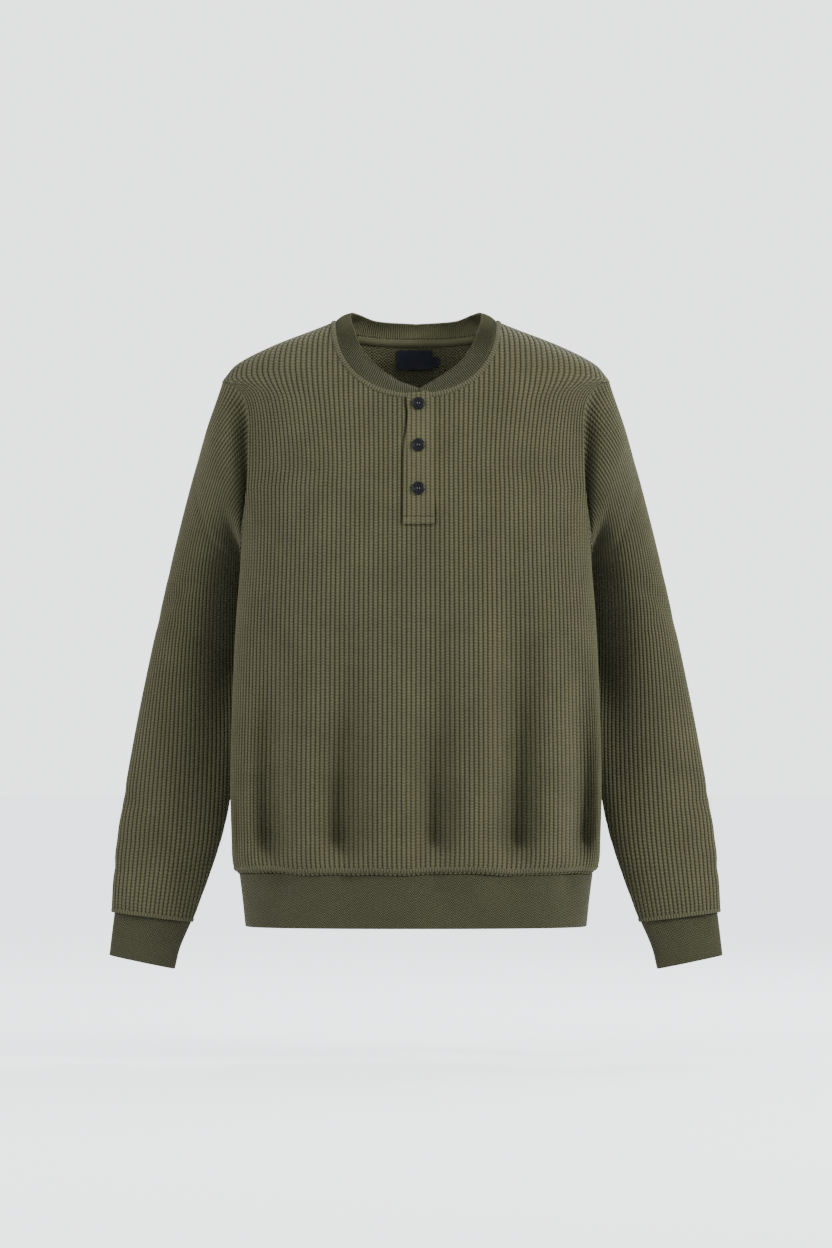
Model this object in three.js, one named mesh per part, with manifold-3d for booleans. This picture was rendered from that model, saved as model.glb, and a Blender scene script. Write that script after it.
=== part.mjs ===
// A long-sleeved henley shirt in chunky waffle knit, standing open and hollow as it does on a wearer.
// Millimetres, +Z up. The origin is midway between the two points where the shoulder seams meet the
// neck band. -Y is the front of the shirt, and +X is the wearer's left sleeve.
//
// Each piece is a wall of cloth. The knitted ribs are raised in the wall's outer points over a plain
// inside, two columns to a rib: one on its crest and one in the valley beside it.

import * as THREE from "three";
import { mergeVertices } from "three/addons/utils/BufferGeometryUtils.js";
import Module from "manifold-3d";

// The cloth.
const VALLEY_WALL = 1.3; // waffle knit between two ribs
const RIB_RISE = 1.2; // how far a rib stands above the valley
const WAFFLE_WALL = VALLEY_WALL + RIB_RISE;
const BAND_WALL = 2.4; // the folded, finer rib of hem, cuffs and neck
const SEAM_GAP = 0.3;

// How many ribs there are.
const PANEL_RIBS = 96; // across the front, and across the back
const SLEEVE_RIBS = 64; // round the upper sleeve
const COLUMNS_PER_RIB = 2;
const GROUP = 4; // outer columns to one column of the plain inside

// The torso's outline, from the hem seam to the neck. half is half the width, front and back are how
// far the cloth stands before and behind the side seams, square is the section's exponent.
const TORSO = [
  { z: -640, half: 205.5, front: 97, back: 92, square: 2.5 },
  { z: -631, half: 212, front: 104, back: 99, square: 2.5 },
  { z: -600, half: 214, front: 105, back: 99, square: 2.5 },
  { z: -540, half: 215.5, front: 105, back: 97, square: 2.45 },
  { z: -450, half: 213.5, front: 106, back: 94, square: 2.4 },
  { z: -350, half: 209, front: 110, back: 95, square: 2.4 },
  { z: -277, half: 203.5, front: 113, back: 100, square: 2.4 },
  { z: -230, half: 203.5, front: 112, back: 104, square: 2.35 },
  { z: -184, half: 208, front: 106, back: 105, square: 2.3 },
  { z: -135, half: 217.5, front: 95, back: 101, square: 2.3 },
  { z: -98, half: 224, front: 83, back: 92, square: 2.3 },
  { z: -72, half: 225, front: 73, back: 84, square: 2.25 },
  { z: -61, half: 218, front: 68, back: 80, square: 2.2 },
  { z: -52, half: 210, front: 64, back: 77, square: 2.2 },
  { z: -43, half: 196, front: 60, back: 73, square: 2.15 },
  { z: -34, half: 178, front: 56, back: 69, square: 2.1 },
  { z: -24, half: 155, front: 50, back: 64, square: 2.1 },
  { z: -10, half: 118, front: 42, back: 57, square: 2 },
  { z: 0, half: 93, front: 36, back: 52, square: 2 },
];
const HEM_SEAM_Z = -640;
const LIP_Z = -631;
const SHOULDER_TIP_Z = -72;

// Soft vertical folds where the body is gathered into the hem band: where each trough lies across the
// panel (0 is the centre, 1 the side seam), how deep and wide it is, and the height where it fades out.
const FRONT_FOLDS = [
  { across: -0.6, depth: 5.5, width: 0.06, fades: -470 },
  { across: -0.3, depth: 6.5, width: 0.065, fades: -420 },
  { across: 0.11, depth: 5.5, width: 0.07, fades: -440 },
  { across: 0.43, depth: 7.5, width: 0.06, fades: -300 },
  { across: 0.74, depth: 6, width: 0.055, fades: -430 },
];
const BACK_FOLDS = [
  { across: -0.68, depth: 5.5, width: 0.06, fades: -450 },
  { across: -0.34, depth: 6.5, width: 0.07, fades: -400 },
  { across: 0.02, depth: 5, width: 0.06, fades: -460 },
  { across: 0.36, depth: 6.5, width: 0.07, fades: -360 },
  { across: 0.7, depth: 5.5, width: 0.055, fades: -440 },
];

// The armhole, a loop on the torso's side from the shoulder tip to the underarm.
const ARMHOLE_MIDDLE_Z = -170;
const ARMHOLE_HALF_HEIGHT = 98;
const ARMHOLE_HALF_DEPTH = 50;
const ARMHOLE_LEAN = 0.68; // under 1 brings the deepest point up towards the shoulder
const ARMHOLE_GROUPS = 20; // inside columns from the centre to the armhole's upright stretch

// The neckline where the band is sewn on: half its width, and how deep it drops in front and behind.
const NECK_HALF = 93;
const NECK_DROP = { front: 84, back: 12 };
const NECK_SQUARE = 2.2;

// Rows of a body panel: heights up to the armhole, then shares of the way up to the shoulder or neck.
const LOWER_ROWS = [HEM_SEAM_Z, LIP_Z, -580, -440, -226];
const UPPER_SHARES = [0, 0.5, 0.82, 0.95, 1];

// The sleeve's rings below the armhole, each by the points where it is widest across: outer and
// inner (x, z). y is how far back its middle hangs, deep is half its depth, and columns is how many
// of them still run on each side of the underarm seam.
const SLEEVE = [
  { outX: 246, outZ: -134, inX: 207, inZ: -271, y: 13, deep: 55, columns: 64 },
  { outX: 267, outZ: -207, inX: 208, inZ: -277, y: 30, deep: 59, columns: 64 },
  { outX: 290, outZ: -297, inX: 205, inZ: -303, y: 56, deep: 56, columns: 64 },
  { outX: 315, outZ: -408, inX: 201, inZ: -396, y: 72, deep: 46, columns: 60 },
  { outX: 333, outZ: -503, inX: 207, inZ: -489, y: 64, deep: 36, columns: 56 },
  { outX: 349, outZ: -602, inX: 224, inZ: -592, y: 48, deep: 27, columns: 48 },
  { outX: 354.5, outZ: -677, inX: 256, inZ: -687, y: 36, deep: 21, columns: 44 },
  { outX: 352, outZ: -686.5, inX: 261, inZ: -697.5, y: 35, deep: 16.5, columns: 44 },
];
const SLEEVE_SQUARE = 2.1;
const SLEEVE_COLUMNS = SLEEVE_RIBS * COLUMNS_PER_RIB;
const TURN_UNDER = { from: 0.5, to: 1 }; // the share of the armhole where the sleeve folds under
const BODY_CLEARANCE = 3;

// The cuff, from the sleeve's end to the wrist, in the same terms.
const CUFF = [
  { outX: 351.8, outZ: -687, inX: 261.2, inZ: -698, y: 35, deep: 16.2 },
  { outX: 355, outZ: -716.5, inX: 274, inZ: -727.5, y: 32, deep: 14.5 },
  { outX: 357, outZ: -737, inX: 280.5, inZ: -753, y: 30, deep: 14 },
];
const CUFF_COLUMNS = 12; // on each side

// The hem band, a folded rib that draws the body in.
const HEM_BAND = [
  { z: -640.4, half: 205, front: 96, back: 91, square: 2.5 },
  { z: -668, half: 201.5, front: 93, back: 88, square: 2.5 },
  { z: -702, half: 198, front: 91, back: 86, square: 2.5 },
];
const HEM_BAND_COLUMNS = 13; // in each quarter

// The neck band's upper edge on the wearer's left, by the share of the neckline from the front notch
// to the middle of the back.
const COLLAR_TOP = [
  { turn: 0, x: 4.3, y: -73, z: -77 },
  { turn: 0.04, x: 12, y: -65.5, z: -72 },
  { turn: 0.107, x: 25, y: -61.5, z: -65 },
  { turn: 0.221, x: 50, y: -60, z: -48 },
  { turn: 0.318, x: 65, y: -54, z: -28.5 },
  { turn: 0.43, x: 72, y: -37, z: -9 },
  { turn: 0.51, x: 75, y: -20, z: 1 },
  { turn: 0.59, x: 75, y: 2, z: 10 },
  { turn: 0.75, x: 64, y: 28, z: 10.3 },
  { turn: 0.845, x: 45, y: 41, z: 5.4 },
  { turn: 1, x: 0, y: 50, z: 3.5 },
];
const NOTCH = { x: 4, gap: 0.3, reach: 0.06 };
const COLLAR_COLUMNS = 34; // on each side
const COLLAR_ROWS = 2;
const COLLAR_GAP = 0.75; // its foot keeps clear of the ribs that end on the neckline
const COLLAR_BULGE = 1.6; // how far the band swells between its edges

// The placket. The opening spans two whole groups of columns, and the overlap's free edge is an
// uneven line on the wearer's right.
const SLIT_GROUPS = { left: -1, right: 2 };
const SLIT_ROW = LOWER_ROWS.length - 1;
const PLACKET_BOTTOM_ROW = SLIT_ROW - 0.052;
const PLACKET_EDGE = [
  { z: -240, x: -15 },
  { z: -191, x: -14.3 },
  { z: -152, x: -13.6 },
  { z: -128, x: -10.9 },
  { z: -109, x: -9.6 },
  { z: -96, x: -10.9 },
  { z: -89, x: -9.8 },
  { z: -82, x: -6 },
];
const PLACKET_LIFT = WAFFLE_WALL + SEAM_GAP + 0.25;
const PLACKET_RIBS = 7;
const UNDERLAP_WALL = 2;
const UNDERLAP_EXTRA = 4; // how far the button stand reaches past the opening on each side
const UNDERLAP_COLUMNS = 5;

// The buttons.
const BUTTON = { radius: 7.6, thick: 3, rim: 1.7, dish: 0.7, hole: 0.9, spread: 1.8, sides: 16 };
const BUTTON_HEIGHTS = [-97, -144, -193.5];
const BUTTON_X = 2.8;

// The tape over the back neck seam, the label below it and the size tab beside that.
const TAPE = { groups: 6, drop: 0.9, wall: 1.1 };
const LABEL = { x: -1.6, z: -39, wide: 41.5, tall: 22, wall: 1, bow: 2.5, columns: 6, rows: 3 };
const TAB = { x: 23, z: -41, wide: 6.4, tall: 12, wall: 0.8, bow: 1, columns: 2, rows: 2 };
const LABEL_CLEARANCE = 1;

const OLIVE = { color: 0x5d5b41, roughness: 0.95, metalness: 0 };
const OLIVE_BAND = { color: 0x59573e, roughness: 0.95, metalness: 0 };
const NAVY = { color: 0x1b1e29, roughness: 0.85, metalness: 0 };
const HORN = { color: 0x15161d, roughness: 0.35, metalness: 0 };

const wasm = await Module();
wasm.setup();

// Numbers and curves.
const lerp = (a, b, t) => a + (b - a) * t;
const clamp = (v, low, high) => Math.min(high, Math.max(low, v));
const ease = (t) => t * t * (3 - 2 * t);

// A smooth curve through a table's named column, keyed by another: cubic pieces whose slope at each
// row is that of the line between its neighbours.
function through(table, key, name) {
  const rows = [...table].sort((a, b) => a[key] - b[key]);
  const slope = rows.map((row, i) => {
    const before = rows[Math.max(0, i - 1)];
    const after = rows[Math.min(rows.length - 1, i + 1)];
    return (after[name] - before[name]) / (after[key] - before[key]);
  });
  return (at) => {
    let i = 0;
    while (i < rows.length - 2 && at > rows[i + 1][key]) i += 1;
    const span = rows[i + 1][key] - rows[i][key];
    const t = clamp((at - rows[i][key]) / span, 0, 1);
    const [a, b] = [rows[i][name], rows[i + 1][name]];
    const [p, q] = [slope[i] * span, slope[i + 1] * span];
    return a + t * (p + t * (3 * (b - a) - 2 * p - q + t * (2 * (a - b) + p + q)));
  };
}

// The place where a falling or rising function crosses zero between two ends.
function crossing(f, low, high, steps = 44) {
  const rising = f(high) > f(low);
  for (let i = 0; i < steps; i += 1) {
    const middle = (low + high) / 2;
    if (f(middle) > 0 === rising) high = middle;
    else low = middle;
  }
  return (low + high) / 2;
}

// The torso's horizontal section at a height, as a half outline from the centre to the side seam.
const torsoCurve = {
  half: through(TORSO, "z", "half"),
  front: through(TORSO, "z", "front"),
  back: through(TORSO, "z", "back"),
  square: through(TORSO, "z", "square"),
};
const OUTLINE_STEPS = 90;
const outlines = new Map();
function outlineAt(z, face, curve = torsoCurve) {
  const key = `${curve === torsoCurve}${face}${z.toFixed(5)}`;
  if (!outlines.has(key)) {
    const half = curve.half(z);
    const depth = curve[face](z);
    const power = 2 / curve.square(z);
    const points = [];
    let length = 0;
    for (let i = 0; i <= OUTLINE_STEPS; i += 1) {
      const angle = (Math.PI / 2) * (i / OUTLINE_STEPS);
      const x = half * Math.sin(angle) ** power;
      const y = depth * Math.max(0, Math.cos(angle)) ** power;
      if (i) length += Math.hypot(x - points[i - 1].x, y - points[i - 1].y);
      points.push({ x, y: i === OUTLINE_STEPS ? 0 : y, length });
    }
    outlines.set(key, points);
  }
  return outlines.get(key);
}
const outlineLength = (z, face) => outlineAt(z, face)[OUTLINE_STEPS].length;

// The point of an outline that is a given length of cloth from the centre.
function alongOutline(points, length) {
  const want = Math.min(Math.abs(length), points[points.length - 1].length);
  let low = 0;
  let high = points.length - 1;
  while (high - low > 1) {
    const middle = (low + high) >> 1;
    if (points[middle].length < want) low = middle;
    else high = middle;
  }
  const t = (want - points[low].length) / (points[high].length - points[low].length);
  return {
    x: Math.sign(length || 1) * lerp(points[low].x, points[high].x, t),
    y: lerp(points[low].y, points[high].y, t),
  };
}
// The other way round: the length of cloth from the centre to where the outline has depth y.
function lengthToDepth(points, y) {
  let i = points.length - 1;
  while (i > 1 && points[i - 1].y < y) i -= 1;
  const t = clamp((points[i - 1].y - y) / (points[i - 1].y - points[i].y), 0, 1);
  return lerp(points[i - 1].length, points[i].length, t);
}

// The armhole loop. turn runs from 0 at the shoulder tip to 1 at the underarm.
const armholeZ = (turn) => ARMHOLE_MIDDLE_Z + ARMHOLE_HALF_HEIGHT * Math.cos(Math.PI * turn);
const armholeDepth = (turn) => ARMHOLE_HALF_DEPTH * Math.sin(Math.PI * turn ** ARMHOLE_LEAN);
const armholeTurn = (z) =>
  Math.acos(clamp((z - ARMHOLE_MIDDLE_Z) / ARMHOLE_HALF_HEIGHT, -1, 1)) / Math.PI;
const armholeLength = (turn, face) =>
  lengthToDepth(outlineAt(armholeZ(turn), face), armholeDepth(turn));

const panelColumns = PANEL_RIBS * COLUMNS_PER_RIB;
const panelHalf = panelColumns / 2;
const armholeColumn = ARMHOLE_GROUPS * GROUP;

// Everything about the front or the back panel that its rows and columns need.
function panelPlan(face, folds) {
  const sign = face === "front" ? -1 : 1;
  const drop = NECK_DROP[face];
  const armShare = armholeColumn / panelHalf;
  const cornerTurn = crossing(
    (turn) => armholeLength(turn, face) / outlineLength(armholeZ(turn), face) - armShare,
    0.45,
    1,
  );
  const splitZ = armholeZ(cornerTurn);
  const tipLength = outlineLength(SHOULDER_TIP_Z, face);

  // How far from the centre a column lies at a height, measured along the cloth.
  const reach = (share, z) => {
    if (z <= splitZ) return share * outlineLength(z, face);
    if (z >= SHOULDER_TIP_Z) return (share / armShare) * tipLength;
    return (share / armShare) * armholeLength(armholeTurn(z), face);
  };
  // A column's top: on the armhole's lower curve, the shoulder seam or the neckline.
  const neckHalfAt = (z) => NECK_HALF * Math.max(0, 1 - (-z / drop) ** NECK_SQUARE) ** (1 / NECK_SQUARE);
  const topOf = (share) => {
    const size = Math.abs(share);
    if (size > armShare + 1e-9) {
      const turn = crossing(
        (t) => armholeLength(t, face) / outlineLength(armholeZ(t), face) - size,
        cornerTurn,
        1,
      );
      return size > 1 - 1e-9 ? armholeZ(1) : armholeZ(turn);
    }
    if (Math.abs(size - armShare) < 1e-9) return SHOULDER_TIP_Z;
    const past = (z) => alongOutline(outlineAt(z, face), reach(size, z)).x - neckHalfAt(z);
    const meetsNeck = reach(size, 0) < outlineLength(0, face);
    if (meetsNeck) return crossing(past, -drop, 0);
    return crossing((z) => reach(size, z) - outlineLength(z, face), SHOULDER_TIP_Z, 0);
  };
  const endsOnSeam = (share) => Math.abs(share) > 1 - 1e-9;
  const endsOnShoulder = (share) =>
    Math.abs(share) <= armShare + 1e-9 && reach(Math.abs(share), 0) >= outlineLength(0, face);

  const foldAt = (share, z) => {
    let trough = 0;
    for (const fold of folds) {
      const risen = clamp((fold.fades - z) / (fold.fades - LIP_Z), 0, 1);
      const gathered = z < LIP_Z ? clamp((z - HEM_SEAM_Z) / (LIP_Z - HEM_SEAM_Z), 0.25, 1) : 1;
      trough += fold.depth * ease(risen) * gathered * Math.exp(-(((share - fold.across) / fold.width) ** 2));
    }
    return trough;
  };
  // A point of the outer cloth, by share of the panel's half width and height.
  const at = (share, z) => {
    const p = alongOutline(outlineAt(z, face), reach(share, z));
    const depth = Math.max(0, p.y - foldAt(share, z) * clamp(p.y / 40, 0, 1));
    return new THREE.Vector3(p.x, sign * (depth + SEAM_GAP / 2), z);
  };
  return { face, sign, splitZ, armShare, cornerTurn, topOf, endsOnSeam, endsOnShoulder, at };
}

// The way a surface faces at (u, v), from the points a small step away on each side.
function facing(surface, u, v, [uLow, uHigh], [vLow, vHigh], outward) {
  const du = (uHigh - uLow) * 2e-3;
  const dv = (vHigh - vLow) * 2e-3;
  const alongU = surface(Math.min(uHigh, u + du), v).sub(surface(Math.max(uLow, u - du), v));
  const alongV = surface(u, Math.min(vHigh, v + dv)).sub(surface(u, Math.max(vLow, v - dv)));
  const normal = alongU.cross(alongV).normalize();
  return normal.dot(outward) < 0 ? normal.negate() : normal;
}

// A body panel's grid: rows 0 to lowerRows lie below the armhole's corner, the rest above it.
const lowerRowCount = LOWER_ROWS.length;
const panelRowCount = lowerRowCount + UPPER_SHARES.length - 1;
function panelGrid(plan) {
  const heightAt = (share, row) => {
    const top = plan.topOf(share);
    const inArmholeFoot = Math.abs(share) > plan.armShare + 1e-9;
    const split = inArmholeFoot ? top : plan.splitZ;
    const whole = Math.floor(row + 1e-9);
    const heights = [...LOWER_ROWS, split];
    if (row <= lowerRowCount) {
      const next = Math.min(whole + 1, lowerRowCount);
      return lerp(Math.min(heights[whole], split), Math.min(heights[next], split), row - whole);
    }
    const step = whole - lowerRowCount;
    const next = Math.min(step + 1, UPPER_SHARES.length - 1);
    const up = lerp(UPPER_SHARES[step], UPPER_SHARES[next], row - whole);
    return lerp(plan.splitZ, top, up);
  };
  const surface = (share, row) => plan.at(share, heightAt(share, row));
  // Rows that the armhole cuts off lie on its edge, and count as the highest row below it.
  const settle = (share, row) => {
    let kept = row;
    while (kept > 0 && kept <= lowerRowCount && heightAt(share, kept) - heightAt(share, kept - 1) < 1e-6) kept -= 1;
    return kept;
  };
  const lastRow = (share) => (Math.abs(share) > plan.armShare + 1e-9 ? lowerRowCount : panelRowCount);
  const normalAt = (share, wanted) => {
    const row = Number.isInteger(wanted) ? settle(share, wanted) : wanted;
    const side = Math.abs(share) > plan.armShare + 1e-9;
    const from = side ? plan.armShare + 2e-6 : 0;
    const to = side ? 1 : plan.armShare;
    const range = share < 0 ? [-to, -from] : [from, to];
    const wide = side ? range : [-plan.armShare, plan.armShare];
    const out = new THREE.Vector3(Math.sign(share) * Math.abs(share) ** 3, plan.sign, 0.4);
    const normal = facing(surface, share, row, wide, [0, lastRow(share)], out);
    const onSeam = plan.endsOnSeam(share) || (row >= panelRowCount && plan.endsOnShoulder(share));
    return onSeam ? normal.setY(0).normalize() : normal;
  };
  return { surface, normalAt, settle };
}

// A wall between a ribbed outer grid and a plain inner one that has one column to each group of outer
// columns. has(group, row) says which patches are cloth. Edges without a neighbour get a rim.
class Wall {
  constructor() {
    this.points = [];
    this.faces = [];
    this.known = new Map();
  }
  vertex(key, make) {
    if (!this.known.has(key)) {
      this.known.set(key, this.points.length);
      this.points.push(make());
    }
    return this.known.get(key);
  }
  face(a, b, c) {
    if (a !== b && b !== c && c !== a) this.faces.push([a, b, c]);
  }
  quad(a, b, c, d) {
    this.face(a, b, c);
    this.face(a, c, d);
  }
  geometry() {
    const geometry = new THREE.BufferGeometry();
    const flat = this.points.flatMap((p) => [p.x, p.y, p.z]);
    geometry.setAttribute("position", new THREE.Float32BufferAttribute(flat, 3));
    geometry.setIndex(this.faces.flat());
    return facesOut(geometry);
  }
}

// Turns a closed geometry's faces round if they point inwards.
function facesOut(geometry) {
  const position = geometry.getAttribute("position");
  const index = geometry.getIndex().array;
  const [a, b, c] = [new THREE.Vector3(), new THREE.Vector3(), new THREE.Vector3()];
  let volume = 0;
  for (let i = 0; i < index.length; i += 3) {
    a.fromBufferAttribute(position, index[i]);
    b.fromBufferAttribute(position, index[i + 1]);
    c.fromBufferAttribute(position, index[i + 2]);
    volume += a.dot(b.cross(c));
  }
  if (volume < 0) for (let i = 0; i < index.length; i += 3) [index[i], index[i + 1]] = [index[i + 1], index[i]];
  geometry.computeVertexNormals();
  return geometry;
}

// Builds the wall of a grid. outer and inner give points by column and row; has(group, row) says
// which patches are cloth; group is how many outer columns there are to one inner column.
function wallOfGrid({ firstGroup, lastGroup, rows, group, outer, inner, has, id = (c, r) => `${c},${r}` }) {
  const wall = new Wall();
  const out = (c, r) => wall.vertex(`o${id(c, r)}`, () => outer(c, r));
  const inn = (c, r) => wall.vertex(`i${id(c, r)}`, () => inner(c, r));
  for (let g = firstGroup; g < lastGroup; g += 1) {
    const [left, right] = [g * group, (g + 1) * group];
    const middle = left + Math.ceil(group / 2);
    for (let r = 0; r < rows; r += 1) {
      if (!has(g, r)) continue;
      for (let c = left; c < right; c += 1) {
        wall.quad(out(c, r), out(c + 1, r), out(c + 1, r + 1), out(c, r + 1));
      }
      wall.quad(inn(left, r), inn(left, r + 1), inn(right, r + 1), inn(right, r));
      if (!has(g - 1, r)) wall.quad(out(left, r), out(left, r + 1), inn(left, r + 1), inn(left, r));
      if (!has(g + 1, r)) wall.quad(out(right, r), inn(right, r), inn(right, r + 1), out(right, r + 1));
      for (const [edge, there, turned] of [
        [r, has(g, r - 1), false],
        [r + 1, has(g, r + 1), true],
      ]) {
        if (there) continue;
        const rim = (a, b, c) => (turned ? wall.face(a, b, c) : wall.face(a, c, b));
        for (let c = left; c < right; c += 1) {
          rim(out(c, edge), out(c + 1, edge), inn(c < middle ? left : right, edge));
        }
        rim(out(middle, edge), inn(right, edge), inn(left, edge));
      }
    }
  }
  return wall.geometry();
}

const isCrest = (column) => Math.abs(column) % COLUMNS_PER_RIB === 1;

// The front and back panels.
function bodyPanel(grid, slit) {
  const { surface, normalAt, settle } = grid;
  const shareOf = (column) => column / panelHalf;
  const place = (column, row, sink) => {
    const share = shareOf(column);
    return surface(share, row).addScaledVector(normalAt(share, row), -sink);
  };
  const groups = panelHalf / GROUP;
  return wallOfGrid({
    firstGroup: -groups,
    lastGroup: groups,
    rows: panelRowCount,
    group: GROUP,
    id: (c, r) => `${c},${settle(shareOf(c), r)}`,
    outer: (c, r) => place(c, r, isCrest(c) ? 0 : RIB_RISE),
    inner: (c, r) => place(c, r, WAFFLE_WALL),
    has: (g, r) => {
      if (r < 0 || r >= panelRowCount || g < -groups || g >= groups) return false;
      const outside = g < -ARMHOLE_GROUPS || g >= ARMHOLE_GROUPS;
      if (outside && r >= lowerRowCount) return false;
      return !(slit && g >= slit.left && g < slit.right && r >= SLIT_ROW);
    },
  });
}

// A run of points with the way the cloth faces at each, which can be read at any share of its length.
class Edge {
  constructor(stops) {
    this.stops = stops;
    this.lengths = [0];
    for (let i = 1; i < stops.length; i += 1) {
      this.lengths.push(this.lengths[i - 1] + stops[i].at.distanceTo(stops[i - 1].at));
    }
  }
  read(share) {
    const want = clamp(share, 0, 1) * this.lengths[this.lengths.length - 1];
    let i = 0;
    while (i < this.lengths.length - 2 && want > this.lengths[i + 1]) i += 1;
    const t = (want - this.lengths[i]) / (this.lengths[i + 1] - this.lengths[i]);
    const [a, b] = [this.stops[i], this.stops[i + 1]];
    return { at: a.at.clone().lerp(b.at, t), normal: a.normal.clone().lerp(b.normal, t).normalize() };
  }
  along(share) {
    const step = 0.02;
    const ahead = this.read(Math.min(1, share + step)).at;
    return ahead.sub(this.read(Math.max(0, share - step)).at).normalize();
  }
}

// The armhole edge of a panel, from the shoulder tip to the underarm.
function armholeEdge(plan, grid) {
  const stops = [];
  const add = (share, row) => stops.push({ at: grid.surface(share, row), normal: grid.normalAt(share, row) });
  for (let row = panelRowCount; row >= lowerRowCount; row -= 1) add(plan.armShare, row);
  for (let column = armholeColumn + 1; column <= panelHalf; column += 1) add(column / panelHalf, lowerRowCount);
  return new Edge(stops);
}

// Half an upright ring through its outer and inner points, read by share of its length.
function halfRing(ring, side, square) {
  const outer = new THREE.Vector3(ring.outX, ring.y, ring.outZ);
  const inner = new THREE.Vector3(ring.inX, ring.y, ring.inZ);
  const middle = outer.clone().add(inner).multiplyScalar(0.5);
  const arm = outer.clone().sub(middle);
  const power = 2 / square;
  const stops = [];
  const steps = 48;
  for (let i = 0; i <= steps; i += 1) {
    const angle = (Math.PI * i) / steps;
    const across = Math.sign(Math.cos(angle)) * Math.abs(Math.cos(angle)) ** power;
    const deep = i === 0 || i === steps ? 0 : Math.sin(angle) ** power;
    const at = middle.clone().addScaledVector(arm, across);
    at.y += side * deep * ring.deep;
    stops.push({ at, normal: arm });
  }
  return new Edge(stops);
}

// Keeps a sleeve's point beside the body, where the body's cloth is.
function besideBody(point) {
  const face = point.y < 0 ? "front" : "back";
  const depth = Math.abs(point.y);
  const inArmhole = point.z > armholeZ(1) && depth < armholeDepth(armholeTurn(point.z));
  if (inArmhole || point.z > SHOULDER_TIP_Z || depth > torsoCurve[face](point.z)) return point;
  const points = outlineAt(point.z, face);
  const least = alongOutline(points, lengthToDepth(points, depth)).x + BODY_CLEARANCE;
  if (point.x < least) point.x = least;
  return point;
}

// The sleeve as a surface of column (0 on top of the arm, below 0 in front) and row (0 at the armhole).
function sleeveSurface() {
  const edges = { front: armholeEdge(frontPlan, frontGrid), back: armholeEdge(backPlan, backGrid) };
  const half = SLEEVE_COLUMNS / 2;
  const rings = SLEEVE.map((ring) => ({
    front: halfRing(ring, -1, SLEEVE_SQUARE),
    back: halfRing(ring, 1, SLEEVE_SQUARE),
    columns: ring.columns,
  }));
  const columnsAt = (row) => (row === 0 ? half : rings[row - 1].columns);
  const shareAt = (column, row) => clamp(column / columnsAt(row), -1, 1);

  // At the armhole the cloth starts on the panel's edge and turns under it towards the underarm.
  const start = (share) => {
    const size = Math.abs(share);
    const face = share < 0 ? "front" : "back";
    const { at, normal } = edges[face].read(size);
    const away = normal.clone().cross(edges[face].along(size)).normalize();
    if (face === "back") away.negate();
    const onFold = size < 1e-9 || size > 1 - 1e-9;
    if (onFold) for (const v of [at, normal, away]) v.y = 0;
    const under = ease(clamp((size - TURN_UNDER.from) / (TURN_UNDER.to - TURN_UNDER.from), 0, 1));
    const swing = (Math.PI / 2) * under;
    at.addScaledVector(away, SEAM_GAP * Math.cos(swing)).addScaledVector(normal, SEAM_GAP * Math.sin(swing));
    const inward = normal.multiplyScalar(-Math.cos(2 * swing)).addScaledVector(away, Math.sin(2 * swing));
    return { at, inward: inward.normalize() };
  };
  const wrap = (share) => (share > 1 ? share - 2 : share < -1 ? share + 2 : share);
  const pointAt = (share, row) => {
    if (row === 0) return start(wrap(share)).at;
    const turn = wrap(share);
    return besideBody(rings[row - 1][turn < 0 ? "front" : "back"].read(Math.abs(turn)).at);
  };
  const between = (share, row) => {
    const low = Math.min(Math.floor(row), rings.length - 1);
    return pointAt(share, low).lerp(pointAt(share, low + 1), row - low);
  };
  const inwardAt = (share, row) => {
    if (row === 0) return start(share).inward;
    const step = { across: 0.01, down: 0.05 };
    const ahead = between(share, Math.min(rings.length, row + step.down));
    const down = ahead.sub(between(share, row - step.down));
    const across = between(share + step.across, row).sub(between(share - step.across, row));
    return across.cross(down).normalize();
  };
  return { columnsAt, shareAt, pointAt, inwardAt, rows: rings.length };
}

// A sleeve. The wearer's right one is the left one mirrored.
function sleeve(side) {
  const { columnsAt, shareAt, pointAt, inwardAt, rows } = sleeveSurface();
  const place = (column, row, sink) => {
    const share = shareAt(column, row);
    const point = pointAt(share, row).addScaledVector(inwardAt(share, row), sink);
    point.x *= side;
    return point;
  };
  const groups = SLEEVE_COLUMNS / GROUP / 2;
  return wallOfGrid({
    firstGroup: -groups,
    lastGroup: groups,
    rows,
    group: GROUP,
    id: (c, r) => (Math.abs(c) >= columnsAt(r) ? `seam,${r}` : `${c},${r}`),
    outer: (c, r) => place(c, r, isCrest(c) && Math.abs(c) < columnsAt(r) ? 0 : RIB_RISE),
    inner: (c, r) => place(c, r, WAFFLE_WALL),
    has: (g, r) => r >= 0 && r < rows,
  });
}

// A closed tube with a plain wall. ringAt(column, row) gives the outer points and inwardAt the way
// through the wall; columns count round the whole tube.
function plainTube({ columns, rows, ringAt, inwardAt, wall, lastGroup = columns, closed = true }) {
  return wallOfGrid({
    firstGroup: 0,
    lastGroup,
    rows,
    group: 1,
    id: (c, r) => `${closed ? c % columns : c},${r}`,
    outer: (c, r) => ringAt(c, r),
    inner: (c, r) => ringAt(c, r).addScaledVector(inwardAt(c, r), wall),
    has: (g, r) => r >= 0 && r < rows && (closed || (g >= 0 && g < lastGroup)),
  });
}

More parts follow.
